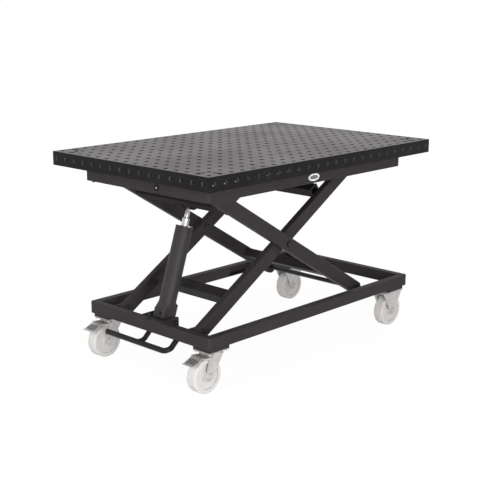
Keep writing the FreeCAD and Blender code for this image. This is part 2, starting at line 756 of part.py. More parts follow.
def make_plate():
    """The fixture plate: a perforated top, a drilled rim and ribs on the underside."""
    holes = ("hole_edge", "hole_edge")
    top = perforated_panel("top_panel", "plate_length", "plate_width", "plate_skin",
                           "hole_columns", "hole_rows", holes)
    move(top, "plate_front", "-plate_width / 2", "skin_bottom")
    piece("plate_top", cut("plate_top_slotted", top, *corner_slots()))

    wall_hole_z = "plate_height / 2"
    walls = []
    for name, side in SIDES.items():
        panel = perforated_panel(f"{name}_wall_panel", "plate_length", "rim_height", "plate_wall",
                                 "hole_columns", "1", ("hole_edge", wall_hole_z))
        panel.Placement = FreeCAD.Placement(FreeCAD.Vector(), FreeCAD.Rotation(X_AXIS, 90))
        face = "plate_width / 2" if side > 0 else "-plate_width / 2 + plate_wall"
        walls.append(move(panel, "plate_front", face, "plate_bottom"))
    piece("plate_side_walls", group("side_wall_pair", walls))

    ends = []
    for name, start in (("front", "plate_front"), ("rear", "plate_front + plate_length - plate_wall")):
        panel = perforated_panel(f"{name}_wall_panel", "plate_width - 2 * plate_wall", "rim_height",
                                 "plate_wall", "hole_rows", "1", ("hole_edge - plate_wall", wall_hole_z))
        panel.Placement = FreeCAD.Placement(FreeCAD.Vector(), FreeCAD.Rotation(0.5, 0.5, 0.5, 0.5))
        ends.append(move(panel, start, "-plate_width / 2 + plate_wall", "plate_bottom"))
    piece("plate_end_walls", group("end_wall_pair", ends))

    ribs = []
    height = ("plate_bottom", "skin_bottom")
    for name, side in SIDES.items():
        middle = f"{side} * (frame_half - rail_depth / 2)"
        ribs.append(box(f"long_rib_{name}",
                        ("plate_front + plate_wall", "plate_front + plate_length - plate_wall"),
                        (f"{middle} - rib_thickness / 2", f"{middle} + rib_thickness / 2"), height))
    between = "frame_half - rail_depth / 2 - rib_thickness / 2"
    for number in (-1, 0, 1):
        middle = f"plate_middle + {number} * cross_rib_spacing"
        ribs.append(box(f"cross_rib_{number + 1}",
                        (f"{middle} - rib_thickness / 2", f"{middle} + rib_thickness / 2"),
                        (f"-({between})", between), height))
    piece("plate_ribs", group("rib_set", ribs))


def lean_pump(item):
    """Set a piece drawn along +Z from the trunnion at the pump's lean."""
    return turn(item, Y_AXIS, "pump_lean", "trunnion_x", "0", "trunnion_z")


def level_slab(name, low, high):
    """A wide slab over or under the plane, level in the drawn pose, where the tube stands on its block."""
    reach = ("-block_depth", "block_depth")
    slab = box(name + "_slab", reach, reach, (low, high))
    return turn(group(name, [slab]), -Y_AXIS, "pump_lean", "0", "0", "block_level")


def make_pump():
    """The hydraulic cylinder: a trunnion block, a tube with its gland, and the rod with its eye."""
    half_across = "block_width_across / 2"
    body = box("block_body", ("-block_depth / 2", "block_depth / 2"), (f"-{half_across}", half_across),
               ("block_start", "block_top"))
    rounded_body = rounded("block_rounded", body, value("block_corner_radius"),
                           lambda edge: runs_along(edge, Z_AXIS))
    boss = cross_bar("block_boss", "trunnion_boss_diameter / 2", "0", "0", f"-{half_across}", half_across)
    reach = "trunnion_lug_at + trunnion_lug_thickness + pin_overhang"
    trunnion = cross_bar("trunnion", "trunnion_diameter / 2", "0", "0", f"-({reach})", reach)
    plunger_well = cylinder("plunger_well", "plunger_diameter / 2 + running_clearance",
                            f"plunger_seat + plunger_stroke + plunger_end_gap + {OVERCUT}",
                            f"-block_depth / 2 - {OVERCUT}",
                            "-plunger_diameter", "plunger_z", along="x")
    valve_well = cross_bar("valve_well", "valve_diameter / 4 + running_clearance", "0", "valve_z",
                           f"{half_across} - valve_length / 2", f"{half_across} + {OVERCUT}")
    block = cut("block_bored", fuse("block_joined", rounded_body, boss, trunnion), plunger_well, valve_well,
                level_slab("block_lid", "0", "block_depth"))
    lean_pump(piece("pump_block", block))

    tube = cylinder("tube_wall", "tube_diameter / 2", "gland_bottom - block_start", "0", "0", "block_start")
    bore = cylinder("tube_bore", "tube_bore", "gland_bottom", "0", "0", "block_start")
    foot = level_slab("tube_foot", "-2 * block_depth", "0")
    lean_pump(piece("pump_tube", cut("tube_bored", tube, bore, foot)))
    ring = cylinder("gland_ring", "tube_diameter / 2", "gland_height", "0", "0", "gland_bottom")
    hole = cylinder("gland_hole", "rod_radius + rod_swing_room", f"gland_height + 2 * {OVERCUT}",
                    "0", "0", f"gland_bottom - {OVERCUT}")
    lean_pump(piece("pump_gland", cut("gland_bored", ring, hole)))

    stem = cross_bar("valve_stem", "valve_diameter / 4", "0", "valve_z",
                     f"{half_across} - valve_length / 2", f"{half_across} + valve_neck")
    knob = cross_bar("valve_knob", "valve_diameter / 2", "0", "valve_z",
                     f"{half_across} + valve_neck", f"{half_across} + valve_length")
    lean_pump(piece("release_valve", fuse("valve_joined", stem, knob)))
    plunger = cylinder("plunger_bar", "plunger_diameter / 2", "plunger_length",
                       "-block_depth / 2 + plunger_seat - plunger_length",
                       "-plunger_diameter", "plunger_z", along="x")
    lean_pump(piece("pump_plunger", group("plunger_set", [plunger])))

    rod = cylinder("rod_bar", "rod_radius", "rod_top - rod_end", "0", "0", "rod_end")
    lean_pump(piece("pump_rod", group("rod_set", [rod])))
    piston = cylinder("piston_disc", "tube_bore - rod_swing_room", "piston_height",
                      "0", "0", "rod_end - piston_height")
    lean_pump(piece("pump_piston", group("piston_set", [piston])))
    collar = cylinder("eye_collar", "collar_diameter / 2", "collar_length", "0", "0", "rod_top")
    neck = doc.addObject("Part::Cone", "eye_neck")
    bind(neck, {"Radius1": "collar_diameter / 2", "Radius2": "neck_diameter / 2",
                "Height": "neck_length + eye_diameter / 4"})
    move(neck, "0", "0", "rod_top + collar_length")
    eye = cross_bar("eye_ring", "eye_diameter / 2", "0", "pump_length", "-eye_width / 2", "eye_width / 2")
    pin_hole = cross_bar("eye_hole", "eye_pin_diameter / 2 + running_clearance", "0", "pump_length",
                         f"-eye_width / 2 - {OVERCUT}", f"eye_width / 2 + {OVERCUT}")
    lean_pump(piece("rod_eye", cut("eye_bored", fuse("eye_joined", collar, neck, eye), pin_hole)))


def bent_bar(points, radii, diameter):
    """A round bar along straight runs joined by tangent arcs, one radius at each inner point."""
    points = [FreeCAD.Vector(*point) for point in points]
    edges = []
    start = points[0]
    for here, after, radius in zip(points[1:-1], points[2:], radii):
        into = (here - start).normalize()
        out = (after - here).normalize()
        half_turn = math.acos(max(-1, min(1, into.dot(out)))) / 2
        back = radius * math.tan(half_turn)
        first = here - into * back
        last = here + out * back
        towards = (out - into).normalize()
        middle = here + towards * (radius / math.cos(half_turn) - radius)
        if (first - start).Length > 1e-6:
            edges.append(Part.LineSegment(start, first).toShape())
        edges.append(Part.Arc(first, middle, last).toShape())
        start = last
    edges.append(Part.LineSegment(start, points[-1]).toShape())
    path = Part.Wire(edges)
    tangent = path.Edges[0].tangentAt(path.Edges[0].FirstParameter)
    section = Part.Wire([Part.makeCircle(diameter / 2, points[0], tangent)])
    return path.makePipeShell([section], True, False)


def pedal_path(arm_y, start):
    """The way of a pedal bar: along the front, back to a knee, then up behind the rail to the shaft."""
    bar_x = value("pedal_bar_x")
    bar_z = value("pedal_bar_height")
    return [
        (bar_x, start, bar_z),
        (bar_x, arm_y, bar_z),
        (value("pedal_knee_x"), arm_y, value("pedal_knee_height")),
        (value("pedal_shaft_x"), arm_y, value("pedal_shaft_z")),
    ]


def make_pedal():
    """The foot pedal: a bent bar with two arms on a shaft behind the front rail."""
    diameter = value("pedal_bar_diameter")
    radii = (value("pedal_bend_radius"), value("pedal_knee_radius"))
    free_end = value("pedal_free_end") - diameter / 2
    bar = bent_bar(pedal_path(-value("pedal_right_arm"), free_end), radii, diameter)
    end = FreeCAD.Vector(value("pedal_bar_x"), free_end, value("pedal_bar_height"))
    tip = Part.makeSphere(diameter / 2, end)
    room_start = -value("pedal_right_arm") - diameter
    shaft_room = Part.makeCylinder(
        value("pedal_shaft_diameter") / 2, 2 * diameter,
        FreeCAD.Vector(value("pedal_shaft_x"), room_start, value("pedal_shaft_z")), Y_AXIS)
    foot = doc.addObject("Part::Feature", "pedal_bar_solid")
    foot.Shape = bar.fuse(tip).removeSplitter().cut(shaft_room)
    piece("pedal_bar", foot)

    reach = value("trunnion_lug_at") + value("trunnion_lug_thickness") + value("pin_overhang")
    right_end = value("pedal_right_arm") + diameter / 2
    shaft = Part.makeCylinder(
        value("pedal_shaft_diameter") / 2, reach + right_end,
        FreeCAD.Vector(value("pedal_shaft_x"), -right_end, value("pedal_shaft_z")), Y_AXIS)
    arm_y = value("pedal_left_arm")
    second = bent_bar(pedal_path(arm_y, arm_y + 2 * radii[0]), radii, value("pedal_arm_diameter"))
    welded = doc.addObject("Part::Feature", "pedal_shaft_solid")
    bar_room = Part.makeCylinder(
        diameter / 2, 8 * diameter,
        FreeCAD.Vector(value("pedal_bar_x"), arm_y - 4 * diameter, value("pedal_bar_height")), Y_AXIS)
    welded.Shape = shaft.fuse(second.cut(bar_room))
    piece("pedal_shaft", welded)


def wheel(label, x, side):
    """A solid plastic wheel with rounded tread edges, a recess on each face and a hub."""
    y = f"{side} * caster_y"
    tread = cross_bar(label + "_tread", "wheel_radius", x, "wheel_radius",
                      f"{y} - wheel_width / 2", f"{y} + wheel_width / 2")
    disc = rounded(label + "_disc", tread, value("wheel_edge_radius"),
                   lambda edge: isinstance(edge.Curve, Part.Circle))
    recesses = []
    for number, face in enumerate((-1, 1)):
        middle = f"{y} + {face} * (wheel_width / 2 - wheel_recess_depth / 2)"
        span = (f"{middle} - wheel_recess_depth / 2", f"{middle} + wheel_recess_depth / 2")
        wide = cross_bar(f"{label}_recess_{number}", "wheel_recess_outer_diameter / 2",
                         x, "wheel_radius", *span)
        core = cross_hole(f"{label}_core_{number}", "wheel_recess_inner_diameter / 2",
                          x, "wheel_radius", span)
        recesses.append(cut(f"{label}_ring_{number}", wide, core))
    hub = cross_bar(label + "_hub", "hub_diameter / 2", x, "wheel_radius",
                    f"{y} - hub_width / 2", f"{y} + hub_width / 2")
    bore = cross_bar(label + "_bore", "wheel_axle_diameter / 2 + running_clearance", x, "wheel_radius",
                     f"{y} - hub_width", f"{y} + hub_width")
    faced = cut(label + "_faced", disc, *recesses)
    return piece(label, cut(label + "_bored", fuse(label + "_joined", faced, hub), bore))


def wheel_axle(name, x, side):
    """A wheel bolt with a hexagon at each end, outside the fork."""
    y = f"{side} * caster_y"
    shank = cross_bar(name + "_shank", "wheel_axle_diameter / 2", x, "wheel_radius",
                      f"{y} - fork_half", f"{y} + fork_half")
    heads = []
    for number, low in enumerate((f"{y} - fork_half - axle_nut_height", f"{y} + fork_half")):
        head = doc.addObject("Part::Prism", f"{name}_head_{number}")
        head.Polygon = 6
        bind(head, {"Circumradius": "axle_nut_size / sqrt(3)", "Height": "axle_nut_height"})
        head.Placement = FreeCAD.Placement(FreeCAD.Vector(), ALONG["y"])
        heads.append(move(head, x, low, "wheel_radius"))
    return fuse(name, shank, *heads)


def fork(label, x, trail, top, side, swivel):
    """A pressed fork: two flared legs to the axle under a bridge, with a swivel head on the front pair."""
    y = f"{side} * caster_y"
    axle_x = f"{x} - {trail}"
    rear = f"{x} + fork_rear_reach" if swivel else f"{x} + fixed_fork_length / 2"
    front = f"{x} - fork_front_reach" if swivel else f"{x} - fixed_fork_length / 2"
    bridge_front = f"{x} - fork_bridge_reach" if swivel else front
    parts = []
    for number, inner in enumerate((f"{y} - fork_half", f"{y} + fork_gap / 2")):
        span = (inner, f"{inner} + fork_wall")
        foot = (f"{axle_x} - fork_foot_radius", f"{axle_x} + fork_foot_radius")
        parts.append(taper(f"{label}_leg_{number}", foot, (front, rear), span, ("wheel_radius", top)))
        parts.append(cross_bar(f"{label}_foot_{number}", "fork_foot_radius", axle_x, "wheel_radius", *span))
    parts.append(box(label + "_bridge", (bridge_front, rear),
                     (f"{y} - fork_gap / 2", f"{y} + fork_gap / 2"),
                     (f"{top} - fork_bridge_height", top)))
    tools = [cross_bar(label + "_axle_hole", "wheel_axle_diameter / 2 + running_clearance / 2", axle_x,
                       "wheel_radius", f"{y} - fork_half - {OVERCUT}", f"{y} + fork_half + {OVERCUT}")]
    if swivel:
        parts.append(cylinder(label + "_head", "swivel_head_diameter / 2", "swivel_head_height", x, y, top))
        tools.append(cylinder(label + "_king_hole", "king_pin_diameter / 2 + running_clearance",
                              f"swivel_head_height + fork_bridge_height + 2 * {OVERCUT}", x, y,
                              f"{top} - fork_bridge_height - {OVERCUT}"))
        tools.append(cross_bar(label + "_brake_hole", "brake_pivot_diameter / 2 + running_clearance",
                               f"{x} - brake_pivot_reach", "brake_pivot_height",
                               f"{y} - fork_half - {OVERCUT}", f"{y} + fork_half + {OVERCUT}"))
    return piece(label, cut(label + "_bored", fuse(label + "_joined", *parts), *tools))


def brake_pedal(label, side):
    """A bent sheet pedal: a sloping tread with a lip, a short back and two cheeks on a pivot pin."""
    x = value("front_caster_x")
    y = side * value("caster_y")
    sheet = value("brake_sheet")
    tip = FreeCAD.Vector(x - value("brake_tip_reach"), 0, value("brake_tip_height"))
    crest = FreeCAD.Vector(x - value("brake_crest_reach"), 0, value("brake_crest_height"))
    root = FreeCAD.Vector(x - value("brake_root_reach"), 0, value("brake_root_height"))
    pivot = FreeCAD.Vector(x - value("brake_pivot_reach"), 0, value("brake_pivot_height"))
    inner_tip = tip + FreeCAD.Vector(value("brake_lip_length"), 0, 0)
    down = FreeCAD.Vector(0, 0, -sheet)
    tread_outline = [tip, inner_tip, crest, root, root + down, crest + down, inner_tip + down, tip + down]
    half = value("brake_width") / 2
    tread = sheet_prism(tread_outline, y - half, y + half)
    cheek_front = value("brake_cheek_front")
    cheek_rear = value("brake_cheek_rear")
    cheek_outline = [crest + down, root + down, pivot + FreeCAD.Vector(cheek_rear, 0, cheek_rear),
                     pivot + FreeCAD.Vector(cheek_rear, 0, -cheek_front),
                     pivot + FreeCAD.Vector(-cheek_front, 0, -cheek_front)]
    outside = value("brake_half")
    inside = outside - sheet
    cheeks = [sheet_prism(cheek_outline, y + low, y + low + sheet) for low in (-outside, inside)]
    bridge_outline = [crest, root, root + down, crest + down]
    bridge = sheet_prism(bridge_outline, y - outside, y + outside)
    pin = Part.makeCylinder(value("brake_pivot_diameter") / 2, 2 * outside,
                            pivot + FreeCAD.Vector(0, y - outside, 0), Y_AXIS)
    item = doc.addObject("Part::Feature", label + "_solid")
    item.Shape = tread.fuse([bridge, *cheeks, pin]).removeSplitter()
    return piece(label, item)


def sheet_prism(outline, low, high):
    """A flat outline in an XZ plane, carried across from one Y to another."""
    points = [FreeCAD.Vector(point.x, low, point.z) for point in outline]
    face = Part.Face(Part.makePolygon(points + points[:1]))
    return face.extrude(FreeCAD.Vector(0, high - low, 0))


def make_casters():
    """Blocks and plates under the base, two swivel casters with brakes and two fixed casters."""
    blocks = []
    plates = []
    for end, x in (("front", "front_caster_x"), ("rear", "rear_caster_x")):
        for name, side in SIDES.items():
            y = f"{side} * caster_y"
            blocks.append(box(f"block_{end}_{name}",
                              (f"{x} - caster_block_length / 2", f"{x} + caster_block_length / 2"),
                              (f"{y} - caster_block_width / 2", f"{y} + caster_block_width / 2"),
                              ("caster_height", "base_bottom")))
            plate = box(f"plate_{end}_{name}",
                        (f"{x} - caster_plate_length / 2", f"{x} + caster_plate_length / 2"),
                        (f"{y} - caster_plate_width / 2", f"{y} + caster_plate_width / 2"),
                        ("caster_plate_bottom", "caster_height"))
            if end == "front":
                length = "swivel_clearance + swivel_head_height + fork_bridge_height"
                pin = cylinder(f"king_pin_{name}", "king_pin_diameter / 2", length, x, y,
                               f"caster_plate_bottom - ({length})")
                plate = fuse(f"plate_with_pin_{name}", plate, pin)
            plates.append(plate)
    piece("caster_blocks", group("block_set", blocks))
    piece("caster_plates", group("plate_set", plates))

    rear_axles = []
    for name, side in SIDES.items():
        fork(f"front_fork_{name}", "front_caster_x", "caster_trail", "front_fork_top", side, True)
        brake_pedal(f"brake_pedal_{name}", side)
        axle_x = "front_caster_x - caster_trail"
        piece(f"front_axle_{name}", wheel_axle(f"front_bolt_{name}", axle_x, side))
        wheel(f"front_wheel_{name}", axle_x, side)
        fork(f"rear_fork_{name}", "rear_caster_x", "0", "caster_plate_bottom", side, False)
        wheel(f"rear_wheel_{name}", "rear_caster_x", side)
        rear_axles.append(wheel_axle(f"rear_bolt_{name}", "rear_caster_x", side))
    piece("rear_axles", group("rear_bolt_pair", rear_axles))


def write_steps():
    """Check every object and write each sub-part to its own file."""
    doc.recompute()
    for item in doc.Objects:
        if "Invalid" in item.State or "Error" in item.State:
            raise RuntimeError(f"{item.Label} failed: {item.State}")
    for item in pieces:
        shape = item.Shape
        if shape.isNull() or not shape.isValid() or not shape.Solids:
            raise RuntimeError(f"{item.Label} has no valid solid")
    os.makedirs("parts", exist_ok=True)
    for item in pieces:
        item.Shape.exportStep(f"parts/{item.Label}.step")
        print(item.Label, len(item.Shape.Solids), round(item.Shape.Volume))


sheets = make_sheets()
make_base()
make_inner_arms()
make_outer_arms()
make_rollers("lower", "lower_pivot_z")
make_rollers("upper", "upper_pivot_z")
make_upper_frame()
make_plate()
make_pump()
make_pedal()
make_casters()
write_steps()
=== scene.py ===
"""Looks of a mobile lift table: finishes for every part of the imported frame, and the small
pieces that dress it, such as weld beads, bolts, a badge plate and brake treads.

Lengths are metres in the frame's own axes: +X runs along the table away from the pedal,
+Y is the left side, +Z is up and the floor lies at zero.
"""

from __future__ import annotations

import json
import logging
import math
from dataclasses import dataclass
from enum import Enum
from typing import Any, ClassVar, Sequence

import bmesh
import bpy
import numpy as np
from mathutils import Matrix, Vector

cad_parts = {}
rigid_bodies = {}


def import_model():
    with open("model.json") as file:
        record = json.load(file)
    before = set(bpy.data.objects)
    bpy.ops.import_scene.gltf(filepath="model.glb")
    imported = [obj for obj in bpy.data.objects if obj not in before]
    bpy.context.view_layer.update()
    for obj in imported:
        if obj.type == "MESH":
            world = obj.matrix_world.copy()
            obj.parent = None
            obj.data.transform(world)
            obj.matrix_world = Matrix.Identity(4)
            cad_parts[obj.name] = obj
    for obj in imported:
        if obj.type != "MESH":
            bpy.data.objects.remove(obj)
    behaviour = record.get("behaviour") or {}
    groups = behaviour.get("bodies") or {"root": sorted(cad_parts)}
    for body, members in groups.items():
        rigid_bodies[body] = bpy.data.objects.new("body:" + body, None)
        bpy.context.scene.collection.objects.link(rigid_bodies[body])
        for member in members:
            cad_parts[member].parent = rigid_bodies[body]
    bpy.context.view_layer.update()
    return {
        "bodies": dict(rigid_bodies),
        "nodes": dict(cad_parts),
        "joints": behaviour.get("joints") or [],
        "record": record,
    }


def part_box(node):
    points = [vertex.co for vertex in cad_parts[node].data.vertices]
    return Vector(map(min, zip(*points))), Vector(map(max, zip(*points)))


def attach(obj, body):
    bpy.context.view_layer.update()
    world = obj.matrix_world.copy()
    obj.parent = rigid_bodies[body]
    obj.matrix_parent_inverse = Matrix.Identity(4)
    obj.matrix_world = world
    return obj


LOG = logging.getLogger("lift_table")
Colour = tuple[float, float, float]
Point = tuple[float, float, float]
Pair = tuple[float, float]
Rows = tuple[tuple[float, ...], ...]

MM = 0.001
FULL_TURN = 2 * math.pi
POLE = 0.2 * MM  # the radius that closes a turned profile at its axis
RIPPLE = 3.2 * MM  # the distance between a weld's ripples
SWELL = 0.12  # the share by which a ripple swells
MERGED = 1e-7  # points of a new piece that lie closer than this are one
WELDED = 1e-6  # the same for a CAD node's triangles
SHARP_EDGE = math.radians(38)  # a new piece's edges over this angle stay sharp
BROKEN_EDGE = math.radians(35)  # a CAD node's edges over this angle are broken
SMOOTH_EDGE = math.radians(40)  # a CAD node's edges under this angle shade smoothly
PATCH_STEP = (0.35, 0.68)  # where the noise of the broad patches begins and ends
PATCH_GLOSS = 0.06  # how far the roughness differs between patches
BUMP_STRENGTH = 0.6


def mm(*values: Any) -> tuple[Any, ...]:
    """Millimetres as metres, in tuples as deep as they come."""
    return tuple(mm(*value) if isinstance(value, tuple) else value * MM for value in values)


class Axis(Enum):
    """A direction along one of the frame's axes."""

    Y = (0.0, 1.0, 0.0)
    Z = (0.0, 0.0, 1.0)
    DOWN = (0.0, 0.0, -1.0)
    RIGHT = (0.0, -1.0, 0.0)
    FRONT = (-1.0, 0.0, 0.0)


class Signal:
    """One output on its way through a material's nodes, with arithmetic on values."""

    def __init__(self, graph: Graph, socket: bpy.types.NodeSocket | None) -> None:
        """Keep the graph that new Math nodes go into and the socket they read."""
        self.graph = graph
        self.socket = socket

    def _math(self, operation: str, first: Any, second: Any) -> Signal:
        """One Math node on two values or signals."""
        return self.graph.add("ShaderNodeMath", {"operation": operation}, {0: first, 1: second})

    def __add__(self, other: Any) -> Signal:
        """This value plus another."""
        return self._math("ADD", self, other)

    __radd__ = __add__

    def __sub__(self, other: Any) -> Signal:
        """This value less another."""
        return self._math("SUBTRACT", self, other)

    def __rsub__(self, other: Any) -> Signal:
        """Another value less this one."""
        return self._math("SUBTRACT", other, self)

    def __mul__(self, other: Any) -> Signal:
        """This value times another."""
        return self._math("MULTIPLY", self, other)

    __rmul__ = __mul__

    def step(self, low: float, high: float) -> Signal:
        """A smooth rise from 0 to 1 between two values of this one."""
        return self.graph.add(
            "ShaderNodeMapRange",
            {"interpolation_type": "SMOOTHSTEP"},
            {"Value": self, "From Min": low, "From Max": high},
        )

    def clamped(self) -> Signal:
        """This value kept between 0 and 1."""
        return self.graph.add("ShaderNodeClamp", {}, {"Value": self})


class Graph:
    """The node tree of one material, of the world or of a modifier."""

    def __init__(self, tree: bpy.types.NodeTree) -> None:
        """Start with an empty tree."""
        self.tree = tree
        self.tree.nodes.clear()
        self._place: Signal | None = None

    def add(
        self, kind: str, settings: dict[str, Any], inputs: dict[Any, Any], output: Any = 0
    ) -> Signal:
        """Add any node.

        Args:
            kind: The node's type.
            settings: Attributes that are set first.
            inputs: Values or signals for its sockets, by name or number.
            output: The socket that carries the result.

        Returns:
            The chosen output.
        """
        node = self.tree.nodes.new(kind)
        for name, value in settings.items():
            setattr(node, name, value)
        for key, value in inputs.items():
            if isinstance(value, Signal):
                self.tree.links.new(value.socket, node.inputs[key])
            else:
                node.inputs[key].default_value = value
        return Signal(self, node.outputs[output] if len(node.outputs) else None)

    @property
    def place(self) -> Signal:
        """Object coordinates, made once.

        Returns:
            The coordinates, which are the frame's own metres on every piece.
        """
        if self._place is None:
            self._place = self.add("ShaderNodeTexCoord", {}, {}, "Object")
        return self._place

    def stretched(self, scale: Point) -> Signal:
        """Object coordinates scaled by axis, to draw a pattern out along one direction."""
        return self.add("ShaderNodeMapping", {}, {"Vector": self.place, "Scale": scale})

    def noise(self, scale: float, detail: float, along: Signal | None = None) -> Signal:
        """Soft noise near one half, by cells per metre, octaves and coordinates to read."""
        inputs = {"Vector": along or self.place, "Scale": scale, "Detail": detail}
        return self.add("ShaderNodeTexNoise", {}, inputs)

    def coordinate(self, name: str) -> Signal:
        """One of the object coordinates, named X, Y or Z."""
        return self.add("ShaderNodeSeparateXYZ", {}, {"Vector": self.place}, name)

    def facing(self, name: str) -> Signal:
        """How far the surface looks along its own X, Y or Z, from -1 to 1."""
        normal = self.add("ShaderNodeTexCoord", {}, {}, "Normal")
        return self.add("ShaderNodeSeparateXYZ", {}, {"Vector": normal}, name)

    def mixed(self, share: Signal, first: Any, second: Any) -> Signal:
        """A colour between two.

        Args:
            share: How far it lies towards the second one, from 0 to 1.
            first: The first colour, or a signal that carries it.
            second: The second colour, likewise.

        Returns:
            The mixed colour.
        """
        ends = [end if isinstance(end, Signal) else (*end, 1.0) for end in (first, second)]
        inputs = {0: share, 6: ends[0], 7: ends[1]}
        return self.add("ShaderNodeMix", {"data_type": "RGBA"}, inputs, 2)

    def bump(self, height: Signal, depth: float) -> Signal:
        """A surface normal tilted by a height from 0 to 1, whose range is a depth in metres."""
        inputs = {"Strength": BUMP_STRENGTH, "Distance": depth, "Height": height}
        return self.add("ShaderNodeBump", {}, inputs)

    def close(self, shader: Signal, target: str = "ShaderNodeOutputMaterial") -> None:
        """Connect the finished shader to the output."""
        self.add(target, {}, {"Surface": shader})


@dataclass(frozen=True)
class Finish:
    """A surface finish with its colour, gloss, grain and wear.

    Attributes:
        name: What the finish is called.
        colour: Its main colour, linear.
        tint: The colour that patches and rubbed places drift towards.
        roughness: Its mean roughness.
        metallic: Whether it is bare metal.
        specular: Strength of the clear reflection.
        patch: Size of the broad colour patches, in cells per metre.
        grain: Size of the fine grain, in cells per metre.
        grain_stretch: How the grain is drawn out along X, Y and Z.
        relief: Depth of the grain in metres.
        roughness_spread: How far the roughness strays.
    """

    name: str
    colour: Colour
    tint: Colour
    roughness: float
    metallic: float = 0.0
    specular: float = 0.5
    patch: float = 6.0
    grain: float = 900.0
    grain_stretch: Point = (1.0, 1.0, 1.0)
    relief: float = 0.04 * MM
    roughness_spread: float = 0.12

    def material(self) -> bpy.types.Material:
        """Build the material.

        Returns:
            A material whose colour drifts in broad patches and whose grain breaks up the gloss.
        """
        made = bpy.data.materials.new(self.name)
        made.use_nodes = True
        graph = Graph(made.node_tree)
        patches = graph.noise(self.patch, 4.0).step(*PATCH_STEP)
        grain = graph.noise(self.grain, 2.0, graph.stretched(self.grain_stretch))
        colour = graph.mixed(self.wear(graph, patches), self.colour, self.tint)
        roughness = self.gloss(graph, patches) + (grain - 0.5) * self.roughness_spread
        inputs = {
            "Base Color": self.pigment(graph, colour),
            "Roughness": roughness.clamped(),
            "Metallic": self.metallic,
            "Specular IOR Level": self.specular,
            "Normal": graph.bump(self.height(graph, grain), self.relief),
        }
        graph.close(graph.add("ShaderNodeBsdfPrincipled", {}, inputs))
        return made

    def wear(self, graph: Graph, patches: Signal) -> Signal:
        """How far the colour drifts to the tint."""
        return patches

    def pigment(self, graph: Graph, colour: Signal) -> Signal:
        """The colour after anything that lies over it."""
        return colour

    def gloss(self, graph: Graph, patches: Signal) -> Signal:
        """The roughness without its grain: the mean one, a little apart on each patch."""
        return self.roughness + (patches - 0.5) * PATCH_GLOSS

    def height(self, graph: Graph, grain: Signal) -> Signal:
        """The height that the grain and any marks give the surface."""
        return grain


@dataclass(frozen=True)
class GroundSteel(Finish):
    """Dark steel with a paler ground top, fine grinding lines and scratches from workpieces; the
    top's paler colour is partly painted sheen.

    Attributes:
        scratch_pitch: Size of the scratches, in cells per metre.
        ground_and_sheen_colour: The colour of the ground top, with a painted sheen of light in it.
        ground_roughness: The roughness of the ground top.
    """

    scratch_pitch: float = 55.0
    ground_and_sheen_colour: Colour = (0.078, 0.061, 0.0635)
    ground_roughness: float = 0.34

    def wear(self, graph: Graph, patches: Signal) -> Signal:
        """Patches with thin crossing scratches, where a stretched noise peaks.

        Args:
            graph: The material's nodes.
            patches: The broad patches.

        Returns:
            How far the colour drifts to the tint.
        """
        along = graph.noise(self.scratch_pitch, 2.0, graph.stretched((0.06, 1.0, 1.0)))
        across = graph.noise(self.scratch_pitch, 2.0, graph.stretched((1.0, 0.08, 1.0)))
        scratches = along.step(0.66, 0.72) * 0.35 + across.step(0.68, 0.73) * 0.25
        return (patches * 0.7 + scratches).clamped()

    def pigment(self, graph: Graph, colour: Signal) -> Signal:
        """The dark skin, ground away and painted paler with sheen wherever the surface looks up.
        """
        # painted sheen: every face that looks up takes the paler colour, partly ground steel and
        # partly painted light
        return graph.mixed(self._facing_up(graph), colour, self.ground_and_sheen_colour)

    def gloss(self, graph: Graph, patches: Signal) -> Signal:
        """Smoother on the ground top than on the dark skin."""
        change = self.ground_roughness - self.roughness
        return super().gloss(graph, patches) + self._facing_up(graph) * change

    @staticmethod
    def _facing_up(graph: Graph) -> Signal:
        """1 where the surface looks up, the ground top with its painted sheen, 0 on the sides and
        underneath.
        """
        return graph.facing("Z").step(0.8, 0.97)


@dataclass(frozen=True)
class BoredSteel(Finish):
    """Dark steel wall whose bores show paler machined metal with a painted highlight.

    Attributes:
        face: The axis that the wall looks along; what looks elsewhere is a bore.
        run: The axis that the wall runs along.
        half: Half of the wall's length, less its ends.
        fade: How far the bores' colour takes to end there.
        bore_and_highlight_colour: The colour in the bores: machined metal with a painted
            highlight.
    """

    face: str = "X"
    run: str = "Y"
    half: float = 0.39
    fade: float = 4 * MM
    bore_and_highlight_colour: Colour = (0.085, 0.08, 0.08)

    def pigment(self, graph: Graph, colour: Signal) -> Signal:
        """The dark skin on the wall's faces and ends, and bare metal with a painted highlight in
        the bores between them.

        Args:
            graph: The material's nodes.
            colour: The dark skin's colour.

        Returns:
            The colour with the bores.
        """
        along, place = graph.facing(self.face), graph.coordinate(self.run)
        aside = 1 - (along * along).step(0.3, 0.8)
        within = 1 - (place * place).step(self.half**2, (self.half + self.fade) ** 2)
        # painted highlight: the bores get a paler colour that stands in for light caught inside
        # them, as well as bare metal
        return graph.mixed(aside * within, colour, self.bore_and_highlight_colour)


@dataclass(frozen=True)
class PowderCoat(Finish):
    """Powder coat with an orange-peel skin and a little dust lying low on the frame.

    Attributes:
        dust_top: The height where the dust ends.
    """

    dust_top: float = 0.25

    def wear(self, graph: Graph, patches: Signal) -> Signal:
        """Patches that gather strength towards the floor."""
        low = 1 - graph.coordinate("Z").step(0.0, self.dust_top)
        return (patches * 0.6 + low * patches * 0.4).clamped()

    def height(self, graph: Graph, grain: Signal) -> Signal:
        """Grain over the wider waves of orange peel."""
        return grain * 0.5 + graph.noise(self.grain * 0.35, 1.0) * 0.5


